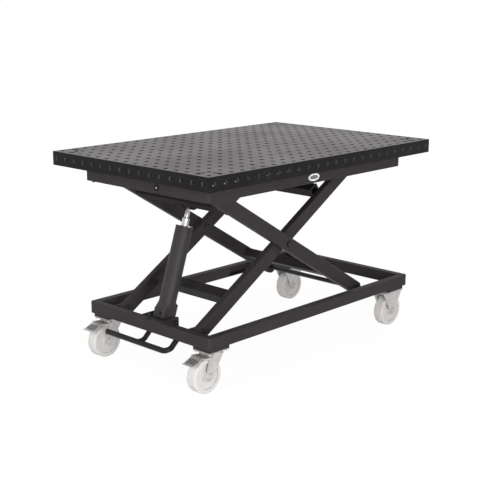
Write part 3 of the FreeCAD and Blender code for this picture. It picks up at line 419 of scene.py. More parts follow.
@dataclass(frozen=True)
class PaintedLightTrackCoat(PowderCoat):
    """Powder coat with painted light inside a side rail, where its inner faces lie in the flange's
    shade.

    Attributes:
        painted_light_colour: The paler colour, painted light, on the faces that look towards the
            table's middle.
    """

    painted_light_colour: Colour = (0.044, 0.0376, 0.0389)

    def pigment(self, graph: Graph, colour: Signal) -> Signal:
        """The plain coat, with painted light where a face on one side looks towards the other
        side.
        """
        inward = graph.facing("Y") * graph.coordinate("Y") * -1.0
        # painted light: the faces inside the rail, shaded by its flange, take a paler colour
        return graph.mixed(inward.step(0.12, 0.2), colour, self.painted_light_colour)


@dataclass(frozen=True)
class Moulded(Finish):
    """Moulded plastic with faint scuffs that run round the tread of a wheel."""

    def wear(self, graph: Graph, patches: Signal) -> Signal:
        """Patches with darker scuffs in fine streaks."""
        streaks = graph.noise(130.0, 3.0, graph.stretched((1.0, 0.15, 1.0))).step(0.55, 0.8)
        return (patches * 0.5 + streaks * 0.5).clamped()


DARK_SKIN: dict[str, Any] = {
    "colour": (0.0072, 0.0063, 0.0065), "tint": (0.0115, 0.0102, 0.0103), "roughness": 0.5,
    "specular": 0.1, "patch": 4.0, "grain": 1400.0, "relief": 0.03 * MM,
}
COAT: dict[str, Any] = {
    "colour": (0.0318, 0.0268, 0.028), "tint": (0.0392, 0.0334, 0.0347), "roughness": 0.55,
    "specular": 0.1,
}
PEEL: dict[str, Any] = {"grain": 1100.0, "relief": 0.06 * MM}


@dataclass(frozen=True)
class Palette:
    """Every finish on the table."""

    # the plate's top is painted paler where it looks up: a ground finish and painted sheen
    # together
    plate: Finish = GroundSteel("plate_steel", **DARK_SKIN, grain_stretch=(0.03, 1.0, 1.0))
    # the walls' bores are painted paler: bare metal with a painted highlight
    end_wall: Finish = BoredSteel("plate_end_wall_steel", **DARK_SKIN)
    side_wall: Finish = BoredSteel(
        "plate_side_wall_steel", **DARK_SKIN, face="Y", run="X", half=0.59)
    frame: Finish = PowderCoat("frame_powder_coat", **COAT, **PEEL)
    # painted light: the side rails' inner faces are coloured paler than the frame's coat
    track: Finish = PaintedLightTrackCoat("track_painted_light_coat", **COAT, **PEEL)
    weld: Finish = PowderCoat("painted_weld", **COAT, grain=500.0)
    # painted shade: the cross-beams under the plate get a darker copy of the frame's coat,
    # standing in for the plate's shadow
    beam: Finish = PowderCoat(
        "beam_painted_shade_coat", (0.018, 0.0152, 0.0158), (0.024, 0.0204, 0.0212), 0.55,
        specular=0.12, **PEEL)
    # painted shade: darker and duller still, for the upper beam and rod lugs in the plate's shadow
    dull_beam: Finish = PowderCoat(
        "dull_beam_painted_shade_coat", (0.021, 0.0178, 0.0185), (0.026, 0.0221, 0.0229), 0.75,
        specular=0.03, **PEEL)
    tube: Finish = PowderCoat(
        "pump_tube_paint", (0.0275, 0.0238, 0.0246), (0.0335, 0.0291, 0.03), 0.56,
        specular=0.3, grain=700.0, relief=0.03 * MM)
    black: Finish = PowderCoat(
        "pedal_black_paint", (0.0075, 0.0068, 0.007), (0.012, 0.011, 0.0112), 0.42, specular=0.2)
    pin: Finish = Finish(
        "blackened_pin_steel", (0.01, 0.0095, 0.0097), (0.022, 0.0205, 0.0205), 0.45,
        specular=0.25, grain=1600.0)
    ground: Finish = Finish(
        "ground_roller_steel", (0.3, 0.3, 0.3), (0.4, 0.4, 0.39), 0.36, metallic=1.0,
        grain=1500.0, grain_stretch=(1.0, 0.1, 1.0))
    bronze: Finish = Finish(
        "oiled_bronze", (0.022, 0.0165, 0.0125), (0.036, 0.026, 0.018), 0.46, metallic=0.7,
        grain=1200.0)
    chrome: Finish = Finish(
        "hard_chrome", (0.6, 0.59, 0.59), (0.5, 0.49, 0.49), 0.3, metallic=0.85,
        grain=2000.0, grain_stretch=(1.0, 1.0, 0.1), relief=0.004 * MM, roughness_spread=0.05)
    zinc: Finish = Finish(
        "zinc_plate", (0.47, 0.455, 0.447), (0.56, 0.545, 0.535), 0.42, metallic=0.35,
        specular=0.4, patch=70.0, grain=800.0, relief=0.03 * MM)
    plate_zinc: Finish = Finish(
        "caster_plate_zinc", (0.3, 0.29, 0.285), (0.38, 0.367, 0.36), 0.45, metallic=0.35,
        specular=0.4, patch=60.0, grain=800.0, relief=0.03 * MM)
    tread: Finish = Finish(
        "brake_tread", (0.03, 0.0285, 0.028), (0.06, 0.057, 0.056), 0.55, specular=0.25,
        patch=160.0, grain=1500.0)
    wheel: Finish = Moulded(
        "wheel_polyamide", (0.62, 0.6, 0.587), (0.55, 0.53, 0.518), 0.5, specular=0.3,
        patch=18.0, grain=600.0)
    knob: Finish = Finish(
        "knob_plastic", (0.012, 0.012, 0.012), (0.022, 0.022, 0.022), 0.5, specular=0.25,
        grain=1500.0)
    rubber: Finish = Finish(
        "seal_rubber", (0.008, 0.008, 0.008), (0.014, 0.014, 0.014), 0.7, specular=0.2,
        grain=1500.0)
    badge: Finish = Finish(
        "badge_enamel", (0.78, 0.78, 0.78), (0.84, 0.84, 0.84), 0.35, specular=0.3,
        grain=1200.0, relief=0.01 * MM)
    badge_field: Finish = Finish(
        "badge_field", (0.13, 0.13, 0.13), (0.18, 0.18, 0.18), 0.4, specular=0.3, grain=1200.0)


PAINT = Palette()


class Paints:
    """The materials, each made the first time that a piece asks for it."""

    def __init__(self) -> None:
        """Start with no material."""
        self._made: dict[str, bpy.types.Material] = {}

    def of(self, finish: Finish) -> bpy.types.Material:
        """Find or make a material.

        Args:
            finish: The finish.

        Returns:
            Its material.
        """
        if finish.name not in self._made:
            self._made[finish.name] = finish.material()
        return self._made[finish.name]

    def dress(self, piece: bpy.types.Object, finish: Finish) -> None:
        """Give a piece one finish all over."""
        piece.data.materials.clear()
        piece.data.materials.append(self.of(finish))


class Former:
    """Turns arrays of points into pieces that ride on the frame."""

    def __init__(self, paints: Paints) -> None:
        """Keep the materials that pieces are dressed in."""
        self.paints = paints

    def piece(
        self, name: str, body: str, shells: Sequence[np.ndarray], finish: Finish, slot: str
    ) -> None:
        """Make one piece out of closed grids of points.

        Args:
            name: The piece's name.
            body: The frame's body that it rides on.
            shells: Grids of points (rings, points round each ring, 3), each capped at both ends.
            finish: Its finish.
            slot: The record's material slot; not used.
        """
        points, faces, caps, start = [], [], [], 0
        for grid in shells:
            rings, sides = grid.shape[:2]
            points.append(grid.reshape(-1, 3))
            faces.append(start + self._quads(rings, sides))
            caps.append(start + np.arange(sides)[::-1])
            caps.append(start + (rings - 1) * sides + np.arange(sides))
            start += rings * sides
        mesh = bpy.data.meshes.new(name)
        polygons = [*np.concatenate(faces).tolist(), *(cap.tolist() for cap in caps)]
        mesh.from_pydata(np.concatenate(points).tolist(), [], polygons)
        self._tidy(mesh)
        made = bpy.data.objects.new(name, mesh)
        bpy.context.scene.collection.objects.link(made)
        self.paints.dress(made, finish)
        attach(made, body)
        LOG.info("made %s on %s with %d faces", name, body, len(mesh.polygons))

    @staticmethod
    def _quads(rings: int, sides: int) -> np.ndarray:
        """Number the corners of the faces between neighbouring rings.

        Args:
            rings: The grid's rings.
            sides: The points round each ring, which is closed.

        Returns:
            Four corner numbers per face.
        """
        ring, side = np.meshgrid(np.arange(rings - 1), np.arange(sides), indexing="ij")
        following = (side + 1) % sides
        corners = (ring * sides + side, ring * sides + following,
                   (ring + 1) * sides + following, (ring + 1) * sides + side)
        return np.stack(corners, axis=-1).reshape(-1, 4)

    @staticmethod
    def _tidy(mesh: bpy.types.Mesh) -> None:
        """Close seams and poles, turn faces outwards, shade smoothly and mark sharp edges.

        Args:
            mesh: The piece's mesh.
        """
        form = bmesh.new()
        form.from_mesh(mesh)
        bmesh.ops.remove_doubles(form, verts=form.verts, dist=MERGED)
        bmesh.ops.dissolve_degenerate(form, edges=form.edges, dist=MERGED)
        bmesh.ops.recalc_face_normals(form, faces=form.faces)
        for face in form.faces:
            face.smooth = True
        for edge in form.edges:
            edge.smooth = len(edge.link_faces) == 2 and edge.calc_face_angle(0.0) < SHARP_EDGE
        form.to_mesh(mesh)
        form.free()


def circle(sides: int, spin: float = 0.0) -> np.ndarray:
    """Points spaced evenly round a circle of radius 1, as cosines and sines (sides, 2)."""
    angle = spin + np.linspace(0, FULL_TURN, sides, endpoint=False)
    return np.stack((np.cos(angle), np.sin(angle)), axis=-1)


def quarter_turn() -> tuple[np.ndarray, np.ndarray]:
    """Cosines and sines of a dome's angles, from its rim to its top."""
    angle = np.linspace(0, math.pi / 2, 7)
    return np.cos(angle), np.sin(angle)


def turned(
    profile: Sequence[Pair], foot: Point, axis: Point, sides: int, spin: float = 0.0
) -> np.ndarray:
    """A profile of (radius, height) pairs carried round an axis: each point goes round a circle.

    Args:
        profile: Radii and heights.
        foot: Where the axis begins and the height is zero.
        axis: The axis's direction, of length 1.
        sides: Points round the circle; six make a hexagon.
        spin: How far the first point is turned, in radians.

    Returns:
        A grid of points.
    """
    along = np.array(axis)
    first = np.array((0.0, 0.0, 1.0) if abs(along[2]) < 0.5 else (1.0, 0.0, 0.0))
    first -= along * (first @ along)
    first /= np.linalg.norm(first)
    ring = circle(sides, spin) @ np.stack((first, np.cross(along, first)))
    radius, height = np.array(profile).T[..., None, None]
    return np.array(foot) + height * along + radius * ring


def swept(path: np.ndarray, outline: np.ndarray, normal: np.ndarray) -> np.ndarray:
    """An outline carried along a path, scaled at each point by the outline's own rings.

    Args:
        path: Points along the way (count, 3).
        outline: Offsets at each point (count, sides, 2), along the normal and square to it.
        normal: A direction that stays up along the path (3,).

    Returns:
        A grid of points.
    """
    tangent = np.gradient(path, axis=0)
    tangent /= np.linalg.norm(tangent, axis=1, keepdims=True)
    side = np.cross(tangent, normal)
    side /= np.linalg.norm(side, axis=1, keepdims=True)
    up = np.cross(side, tangent)
    return path[:, None] + outline[..., :1] * up[:, None] + outline[..., 1:] * side[:, None]


def bead(start: Point, end: Point, lean: Point, radius: float = 3.0 * MM) -> np.ndarray:
    """A fillet weld: a round string whose radius swells with every ripple along its way.

    Args:
        start: Where it begins.
        end: Where it stops.
        lean: The direction out of the corner that it fills.
        radius: Its mean radius.

    Returns:
        A grid of points.
    """
    run = np.subtract(end, start)
    length = float(np.linalg.norm(run))
    share = np.linspace(0, 1, max(8, int(length / RIPPLE * 4)))
    path = np.array(start) + share[:, None] * run
    fade = np.clip(np.minimum(share, 1 - share) * length / radius, 0.05, 1) ** 0.5
    size = radius * fade * (1 + SWELL * np.cos(FULL_TURN * share * length / RIPPLE))
    return swept(path, size[:, None, None] * circle(8), np.array(lean, float))


def rounded_bar(
    start: Point, end: Point, up: Point, width: float, height: float, ends: float = 0.0
) -> np.ndarray:
    """A bar whose section is a squarish oval, drawn in at both ends along a quarter circle.

    Args:
        start: Where its middle line begins.
        end: Where its middle line stops.
        up: The direction of its height.
        width: Its width.
        height: Its height.
        ends: How far its ends draw in; zero takes half its width.

    Returns:
        A grid of points.
    """
    run = np.subtract(end, start)
    share = (1 - np.cos(np.linspace(0, math.pi, 17))) / 2
    reach = np.minimum(share, 1 - share) * float(np.linalg.norm(run)) / (ends or width / 2)
    size = np.sqrt(1 - (1 - np.clip(reach, 0.02, 1)) ** 2)
    turn = circle(12)
    ring = np.sign(turn) * np.abs(turn) ** 0.7 * np.array((height / 2, width / 2))
    path = np.array(start) + share[:, None] * run
    return swept(path, size[:, None, None] * ring, np.array(up, float))


@dataclass(frozen=True)
class Coat:
    """What some CAD nodes get.

    Attributes:
        finish: Their finish.
        edge: The width of their broken edges; zero leaves them sharp.
        nodes: Their names, with spaces between.
        steps: Steps across a broken edge.
    """

    finish: Finish
    edge: float
    nodes: str
    steps: int = 2


@dataclass
class Shop:
    """What every sub-assembly works with: the frame, the materials, the former and the shading."""

    frame: dict[str, Any]
    paints: Paints
    former: Former
    shading: bpy.types.NodeTree

    def coat(self, coat: Coat) -> None:
        """Dress CAD nodes, join their triangles, shade round faces smoothly and break edges.

        Args:
            coat: The nodes and what they get.
        """
        for name in coat.nodes.split():
            node = self.frame["nodes"][name]
            self.paints.dress(node, coat.finish)
            weld = node.modifiers.new("weld", "WELD")
            weld.merge_threshold = WELDED
            shade = node.modifiers.new("shade", "NODES")
            shade.node_group = self.shading
            if coat.edge > 0:
                bevel = node.modifiers.new("edge", "BEVEL")
                bevel.width = coat.edge
                bevel.segments = coat.steps
                bevel.limit_method = "ANGLE"
                bevel.angle_limit = BROKEN_EDGE
                bevel.use_clamp_overlap = False
                bevel.harden_normals = True


def smooth_by_angle(limit: float) -> bpy.types.NodeTree:
    """A modifier's nodes that shade all faces smoothly and keep edges over an angle sharp.

    Args:
        limit: The angle in radians.

    Returns:
        The node tree.
    """
    tree = bpy.data.node_groups.new("smooth_by_angle", "GeometryNodeTree")
    graph = Graph(tree)
    for way in ("INPUT", "OUTPUT"):
        tree.interface.new_socket("Geometry", in_out=way, socket_type="NodeSocketGeometry")
    smooth, compare = "GeometryNodeSetShadeSmooth", "FunctionNodeCompare"
    mesh = graph.add("NodeGroupInput", {}, {})
    soft = graph.add(smooth, {"domain": "FACE"}, {0: mesh, 2: True})
    angle = graph.add("GeometryNodeInputMeshEdgeAngle", {}, {})
    sharp = graph.add(compare, {"operation": "GREATER_THAN"}, {0: angle, 1: limit})
    kept = graph.add(smooth, {"domain": "EDGE"}, {0: soft, 1: sharp, 2: False})
    graph.add("NodeGroupOutput", {}, {0: kept})
    return tree


@dataclass
class Assembly:
    """A sub-assembly, which dresses its nodes as its coats say and adds its small pieces."""

    shop: Shop
    coats: ClassVar[tuple[Coat, ...]] = ()

    def build(self) -> None:
        """Dress the nodes and add the pieces."""
        for coat in self.coats:
            self.shop.coat(coat)
        self.pieces()

    def pieces(self) -> None:
        """Add the small pieces, if there are any."""

    def add(self, *details: Any) -> None:
        """Make one piece from what the former's piece method takes."""
        self.shop.former.piece(*details)


@dataclass
class FixturePlate(Assembly):
    """The perforated plate: top, rim walls and ribs."""

    coats = (
        Coat(PAINT.plate, 0.4 * MM, "plate_top plate_ribs", 1),
        Coat(PAINT.side_wall, 0.4 * MM, "plate_side_walls", 1),
        Coat(PAINT.end_wall, 0.4 * MM, "plate_end_walls", 1),
    )


@dataclass
class Frames(Assembly):
    """The base frame and the upper frame with their welds, badge plate, plug and stop.

    Attributes:
        badge_size: The badge's length and height.
        badge_rise: How far the badge sits above the rail's middle.
        sight_y: Where the plug sits along the upper front rail.
        stop_place: Where the pedal's stop stands, in X and Y.
        spacer_places: The spacers' middles in X, on both sides at spacer_y.
        spacer_half: Half of a spacer's length and width.
        block_places: The caster blocks' middles in X, on both sides at block_y.
        block_half: Half of a block's length and width.
    """

    coats = (
        Coat(PAINT.frame, 1.2 * MM, "base_front_rail base_rear_rail upper_front_rail"
             " upper_rear_rail upper_left_rail upper_right_rail plate_spacers caster_blocks"
             " pump_lugs lower_pivot_lugs upper_pivot_lugs"),
        # the side rails' coat carries painted light on their inner faces
        Coat(PAINT.track, 1.2 * MM, "base_left_rail base_right_rail"),
        Coat(PAINT.pin, 1.2 * MM, "lower_pivot_pins upper_pivot_pins"),
    )
    badge_size: Pair = mm(60, 27)
    badge_thickness: float = 1.6 * MM
    badge_rise: float = 6 * MM
    plug_radius: float = 11 * MM
    rivet_radius: float = 3.6 * MM
    sight_y: float = -69 * MM
    stop_place: Pair = mm(-503, 6)
    stop_radius: float = 5.5 * MM
    stop_height: float = 13 * MM
    spacer_places: tuple[float, ...] = mm(-310, -4, 302)
    spacer_y: float = 302 * MM
    spacer_half: Pair = mm(45, 12)
    spacer_bead: float = 2 * MM
    block_places: Pair = mm(-467, 541)
    block_y: float = 266 * MM
    block_half: Pair = mm(46, 42)
    block_bead: float = 2.5 * MM

    def pieces(self) -> None:
        """Add the badge, the plug, the stop and the welds."""
        self.badge()
        self.sight_plug()
        self.stop_knob()
        self.spacer_welds()
        self.block_welds()

    def badge(self) -> None:
        """A bare oval plate on the near upper rail: an ellipse, white round a grey field."""
        low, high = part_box("upper_right_rail")
        centre = np.array((0.0, low.y, (low.z + high.z) / 2 + self.badge_rise))
        oval = np.insert(circle(64) * np.array(self.badge_size) / 2, 1, 0.0, axis=1)
        out = np.array(Axis.RIGHT.value) * self.badge_thickness
        rim = ((1.0, 0.0), (1.0, 0.7), (0.97, 1.0), (0.9, 1.0), (0.88, 0.8), (0.02, 0.8))
        middle = ((0.75, 0.7), (0.74, 0.92), (0.5, 0.95), (0.02, 0.96))
        for name, rings, tall, finish in (("badge_plate", rim, 1.0, PAINT.badge),
                                          ("badge_field", middle, 0.74, PAINT.badge_field)):
            shape = oval * np.array((1.0, 1.0, tall))
            grid = np.stack([centre + shape * wide + out * rise for wide, rise in rings])
            self.add(name, "top", [grid], finish, "zinc")

    def sight_plug(self) -> None:
        """A rubber plug in the upper front rail's hole, a dished disc, with a domed rivet."""
        low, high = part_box("upper_front_rail")
        centre, front = (low.x, self.sight_y, (low.z + high.z) / 2), Axis.FRONT.value
        wide, bolt = self.plug_radius, self.rivet_radius
        neck, depth, dish = mm(6.4, -6, 0.8)
        disc = ((POLE, depth), (neck, depth), (neck, 0.0), (wide, 0.0), (wide, 1.4 * MM),
                (wide * 0.93, 2.2 * MM), (wide * 0.62, 2.2 * MM), (bolt * 1.15, dish),
                (POLE, dish))
        flat, rise = quarter_turn()
        dome = [(bolt, 0.6 * MM), *zip(bolt * flat, 1.2 * MM + 2.4 * MM * rise)]
        plug, rivet = turned(disc, centre, front, 36), turned(dome, centre, front, 24)
        self.add("sight_plug", "top", [plug], PAINT.rubber, "black_paint")
        self.add("sight_rivet", "top", [rivet], PAINT.zinc, "zinc")

    def stop_knob(self) -> None:
        """A rubber stop on the base's front rail: foot, waist and domed head, turned upright."""
        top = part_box("base_front_rail")[1].z
        wide, tall = self.stop_radius, self.stop_height
        flat, rise = quarter_turn()
        head = zip(wide * (0.35 + 0.65 * flat), tall * (0.75 + 0.25 * rise))
        profile = [(wide * 1.25, 0.0), (wide * 1.25, 1.6 * MM), (wide * 0.75, 2.4 * MM),
                   (wide * 0.75, tall * 0.35), (wide * 0.95, tall * 0.48), *head, (POLE, tall)]
        stop = turned(profile, (*self.stop_place, top), Axis.Z.value, 28)
        self.add("pedal_stop", "base", [stop], PAINT.knob, "knob_plastic")

    def spacer_welds(self) -> None:
        """Fillet beads along both sides of every spacer on the upper rails."""
        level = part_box("upper_right_rail")[1].z
        run, side = self.spacer_half
        places = [(x, y, edge) for x in self.spacer_places
                  for y in (-self.spacer_y, self.spacer_y) for edge in (-1, 1)]
        beads = [bead((x - run, y + edge * side, level), (x + run, y + edge * side, level),
                      (0, edge, 1), self.spacer_bead) for x, y, edge in places]
        self.add("spacer_welds", "top", beads, PAINT.weld, "charcoal_paint")

    def block_welds(self) -> None:
        """Fillet beads under the base, along the outer two sides of every caster block."""
        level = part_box("base_right_rail")[0].z
        run, side = self.block_half
        beads = []
        for x, outward in zip(self.block_places, (-1, 1)):
            end, inner = x + outward * run, x - outward * run
            for hand in (-1, 1):
                near, far = hand * (self.block_y - side), hand * (self.block_y + side)
                for start, lean in (((end, near, level), (outward, 0, -1)),
                                    ((inner, far, level), (0, hand, -1))):
                    beads.append(bead(start, (end, far, level), lean, self.block_bead))
        self.add("caster_block_welds", "base", beads, PAINT.weld, "charcoal_paint")


@dataclass
class Scissor(Assembly):
    """Arms, cross-beams, rollers and their pins.

    Attributes:
        lift: The arms' angle at rest.
        pivot_x: The fixed pivots' place in X.
        pairs: Each pair of arms: its name, the sign of its angle, its pivot's height, how far
            its inner faces stand from the middle, and its beams, each with its place along
            and across the arm, length and height.
    """

    coats = (
        Coat(PAINT.frame, 0.0, "inner_arm_left inner_arm_right outer_arm_left outer_arm_right"),
        # the beams and rod lugs wear darker copies of the frame's coat: painted shade
        Coat(PAINT.beam, 3 * MM, "inner_lower_beam inner_upper_beam outer_lower_beam", 3),
        Coat(PAINT.dull_beam, 3 * MM, "outer_upper_beam", 3),
        Coat(PAINT.dull_beam, 0.8 * MM, "rod_lugs"),
        Coat(PAINT.pin, 0.8 * MM, "centre_pins rod_eye_pin lower_axle upper_axle"),
        Coat(PAINT.ground, 0.8 * MM, "lower_rollers upper_rollers"),
        Coat(PAINT.bronze, 0.8 * MM, "inner_arm_bushes outer_arm_bushes"),
    )
    lift: float = math.radians(31.3)
    pivot_x: float = -454 * MM
    pairs: tuple[tuple[Any, ...], ...] = (
        ("inner", 1, 185 * MM, 184 * MM, mm((176, -2, 40, 39), (742, 30, 40, 35))),
        ("outer", -1, 683.74 * MM, 214 * MM, mm((128, 0, 56, 48), (788, 0, 40, 35))),
    )

    def pieces(self) -> None:
        """Weld the beams to both pairs of arms."""
        for pair in self.pairs:
            self.welds(*pair)

    def welds(self, kind: str, sign: int, level: float, half: float, beams: Rows) -> None:
        """Beads round the ends of the box beams that stand square on one pair of arms.

        Args:
            kind: Which pair, inner or outer.
            sign: The sign of its angle.
            level: Its pivot's height.
            half: How far the arms' inner faces stand from the middle.
            beams: Each beam's place along and across the arm, length and height.
        """
        turn = sign * self.lift
        run = np.array((math.cos(turn), 0.0, math.sin(turn)))
        rise = np.array((-math.sin(turn), 0.0, math.cos(turn)))
        beads = []
        for at, aside, length, height in beams:
            along, up = run * length / 2, rise * height / 2
            for hand in (-1, 1):
                foot = np.array((self.pivot_x, hand * half, level))
                centre = foot + run * at + rise * aside
                for edge, way in ((along, up), (-along, up), (up, along), (-up, along)):
                    lean = edge / np.linalg.norm(edge) + np.array((0.0, -hand, 0.0))
                    beads.append(bead(centre + edge - way, centre + edge + way, lean))
        self.add(f"{kind}_beam_welds", f"{kind}_arms", beads, PAINT.weld, "charcoal_paint")


@dataclass
class Pump(Assembly):
    """The hydraulic cylinder, its rod and the foot pedal.

    Attributes:
        foot: The middle of the trunnion's axis, where the cylinder's own begins.
        lean: The cylinder's angle from upright, towards +X.
        shoulder_end: The cast shoulder's end: its radius and how far along the cylinder it lies.
        shoulder_sink: How far below the block's top the shoulder starts.
        block_centre: The middle of the block's top, in X and Y.
        block_half: Half of the shoulder's size there.
        rod_band: The groove under the rod's eye: radii and places along the cylinder.
        lug_outside: How far the pump lugs' outer faces stand from the middle.
        cap: A trunnion cap's radii and heights.
    """

    coats = (
        Coat(PAINT.tube, 0.0, "pump_tube pump_block"),
        Coat(PAINT.tube, 0.8 * MM, "pump_gland"),
        Coat(PAINT.chrome, 0.0, "pump_rod rod_eye"),
        Coat(PAINT.ground, 0.0, "pump_piston"),
        Coat(PAINT.pin, 0.8 * MM, "pump_plunger"),
        Coat(PAINT.knob, 0.8 * MM, "release_valve"),
        Coat(PAINT.black, 0.0, "pedal_bar pedal_shaft"),
    )
    foot: Point = mm(-443, 0, 188.5)
    lean: float = math.radians(18.455)
    shoulder_end: Pair = mm(31.3, 66)
    shoulder_sink: float = 0.4 * MM
    block_centre: Pair = mm(-428, 0)
    block_half: Pair = mm(35.2, 26.2)
    rod_band: Rows = mm((11.7, 367.4), (13.156, 367.4), (13.156, 370.6), (11.7, 370.6))
    lug_outside: float = 62 * MM
    cap: Rows = mm((0.2, 0), (10.5, 0), (10.5, 2.6), (9, 4), (5, 4), (4, 3), (0.2, 3))

    @property
    def axis(self) -> Point:
        """The cylinder's direction."""
        return (math.sin(self.lean), 0.0, math.cos(self.lean))

    def pieces(self) -> None:
        """Add the cast shoulder, the ring under the rod's eye and the trunnion's caps."""
        self.shoulder()
        groove = turned(self.rod_band, self.foot, self.axis, 32)
        self.add("rod_groove", "pump_rod", [groove], PAINT.rubber, "dark_steel")
        caps = [turned(self.cap, (self.foot[0], hand * self.lug_outside, self.foot[2]),
                       axis.value, 32) for hand, axis in ((-1, Axis.RIGHT), (1, Axis.Y))]
        self.add("trunnion_caps", "base", caps, PAINT.pin, "dark_steel")

    def shoulder(self) -> None:
        """The shoulder from block to tube: a squarish oval that eases into a tilted circle."""
        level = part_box("pump_block")[1].z - self.shoulder_sink
        turn = circle(56)
        flat = np.sign(turn) * np.abs(turn) ** 0.4 * np.array(self.block_half)
        oval = np.insert(flat + np.array(self.block_centre), 2, level, axis=1)
        collar = turned((self.shoulder_end,), self.foot, self.axis, len(turn))
        share = np.linspace(0, 1, 13)[:, None, None]
        ease = share**2 * (3 - 2 * share)
        grid = oval + np.concatenate((ease, ease, share), axis=2) * (collar - oval)
        self.add("pump_shoulder", "pump_cylinder", [grid], PAINT.tube, "pump_paint")


@dataclass
class Casters(Assembly):
    """Forks, wheels, brakes and their bolts.

    Attributes:
        caster_y: How far the casters stand from the middle.
        swivel_x: The swivel casters' middle in X.
        swivel_lip: The bearing lip's root, inner and outer radius.
        swivel_span: The heights that it lies between.
        brake_line: The brake tread's top from lip over crest to root, in X and Z.
        pad_spans: Where the pads begin and end along the two slopes of that line.
        pad_size: A pad's width and height, and how far its ends draw in.
        rib_size: A rib's width and height.
        rib_rise: How far the ribs' middles lie above the pads'.
        rib_reach: How far the outermost ribs lie from the tread's middle.
        bolts: Each caster's X and the bolts' distances from its middle, in X and Y.
        bolt_turn: How far the heads at one end are turned, in radians.
        washer: A washer's radii and heights, in bolt sizes.
        bolt_head: A bolt head's radii and heights, in its own radius and height.
        lip_y: How far the rolled edges lie from a caster's middle.
        swivel_legs: The lower and upper end of each rolled edge on a swivel fork, in X and Z.
        fixed_legs: The same for a fixed fork.
    """

    coats = (
        Coat(PAINT.zinc, 0.0, "front_fork_left front_fork_right rear_fork_left rear_fork_right"
             " front_axle_left front_axle_right brake_pedal_left brake_pedal_right"),
        Coat(PAINT.wheel, 0.0, "front_wheel_left front_wheel_right"
             " rear_wheel_left rear_wheel_right"),
        Coat(PAINT.zinc, 0.6 * MM, "rear_axles"),
        Coat(PAINT.plate_zinc, 0.6 * MM, "caster_plates"),
    )
    caster_y: float = 266 * MM
    swivel_x: float = -467 * MM
    swivel_lip: Point = mm(30, 31, 33.5)
    swivel_span: Pair = mm(136, 143)
    brake_line: Rows = mm((-571, 117), (-532, 134), (-501, 131))
    pad_spans: Rows = ((0.04, 0.66), (0.06, 0.95))
    pad_size: Point = mm(47, 2.2, 1.5)
    rib_count: int = 5
    rib_size: Pair = mm(2.2, 1.8)
    rib_rise: float = 0.9 * MM
    rib_reach: float = 19 * MM
    bolts: Rows = mm((-467, 40, 33), (541, 40, 35))
    plate_thickness: float = 5 * MM
    bolt_size: float = 10 * MM
    bolt_height: float = 3.4 * MM
    bolt_turn: float = 0.4
    washer: Rows = ((0.0002, 0.0), (0.62, 0.0), (0.62, 0.11), (0.0002, 0.11))
    bolt_head: Rows = ((1.0, 0.0), (1.0, 0.82), (0.9, 1.0))
    lip_y: float = 23.6 * MM
    lip_width: float = 3.2 * MM
    lip_depth: float = 2.8 * MM
    swivel_legs: Rows = mm((-509.9, 88, -498.5, 124), (-469.9, 88, -442.6, 127))
    fixed_legs: Rows = mm((512.4, 88, 486.7, 137), (569.6, 88, 595.3, 137))

    def pieces(self) -> None:
        """Add the bolts, and each side's lips, brake treads and rolled edges."""
        self.plate_bolts()
        for side, hand in (("left", 1), ("right", -1)):
            self.swivel_ring(side, hand)
            self.brake_tread(side, hand)
            self.leg_lips(f"swivel_leg_lips_{side}", f"swivel_{side}", hand, self.swivel_legs)
            self.leg_lips(f"fixed_leg_lips_{side}", "base", hand, self.fixed_legs)

    def plate_bolts(self) -> None:
        """Hexagon heads, drawn in at the top for a chamfer, on washers under the caster plates."""
        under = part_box("caster_blocks")[0].z - self.plate_thickness
        disc = np.array(self.washer) * self.bolt_size
        head = np.array(self.bolt_head) * (self.bolt_size / math.sqrt(3), self.bolt_height)
        seat, down = under - disc[-1, 1], Axis.DOWN.value
        shells = []
        for x, out_x, out_y in self.bolts:
            for hand in (-1, 1):
                for along, aside in ((-1, -1), (-1, 1), (1, -1), (1, 1)):
                    place = (x + along * out_x, hand * self.caster_y + aside * out_y)
                    spin = self.bolt_turn * along + aside
                    shells.append(turned(disc, (*place, under), down, 20))
                    shells.append(turned(head, (*place, seat), down, 6, spin))
        self.add("caster_bolts", "base", shells, PAINT.zinc, "zinc")

    def swivel_ring(self, side: str, hand: int) -> None:
        """The bearing's pressed lip: a half-round bead carried round the swivel head.

        Args:
            side: The caster's side.
            hand: The sign of Y there.
        """
        (root, inner, outer), (low, high) = self.swivel_lip, self.swivel_span
        angle = np.linspace(-math.pi / 2, math.pi / 2, 9)
        middle, half = (low + high) / 2, (high - low) / 2
        rim = zip(inner + (outer - inner) * np.cos(angle), middle + half * np.sin(angle))
        centre = (self.swivel_x, hand * self.caster_y, 0.0)
        ring = turned([(root, low), *rim, (root, high)], centre, Axis.Z.value, 40)
        self.add(f"swivel_lip_{side}", f"swivel_{side}", [ring], PAINT.zinc, "zinc")

    def brake_tread(self, side: str, hand: int) -> None:
        """Two dark pads on the brake's slopes with bright ribs along them, all rounded bars.

        Args:
            side: The caster's side.
            hand: The sign of Y there.
        """
        lip, crest, root = (np.array((x, hand * self.caster_y, z)) for x, z in self.brake_line)
        pads, ribs = [], []
        for (start, end), (first, last) in zip(((lip, crest), (crest, root)), self.pad_spans):
            slope = end - start
            up = np.cross(slope, (0.0, -1.0, 0.0))
            up *= np.sign(up[2]) / np.linalg.norm(up)
            low, high = start + slope * first, start + slope * last
            pads.append(rounded_bar(low, high, up, *self.pad_size))
            for place in np.linspace(-self.rib_reach, self.rib_reach, self.rib_count):
                aside = np.array((0.0, place, 0.0)) + up * self.rib_rise
                ribs.append(rounded_bar(low + aside, high + aside, up, *self.rib_size))
        self.add(f"brake_pads_{side}", f"brake_{side}", pads, PAINT.tread, "zinc")
        self.add(f"brake_ribs_{side}", f"brake_{side}", ribs, PAINT.zinc, "zinc")

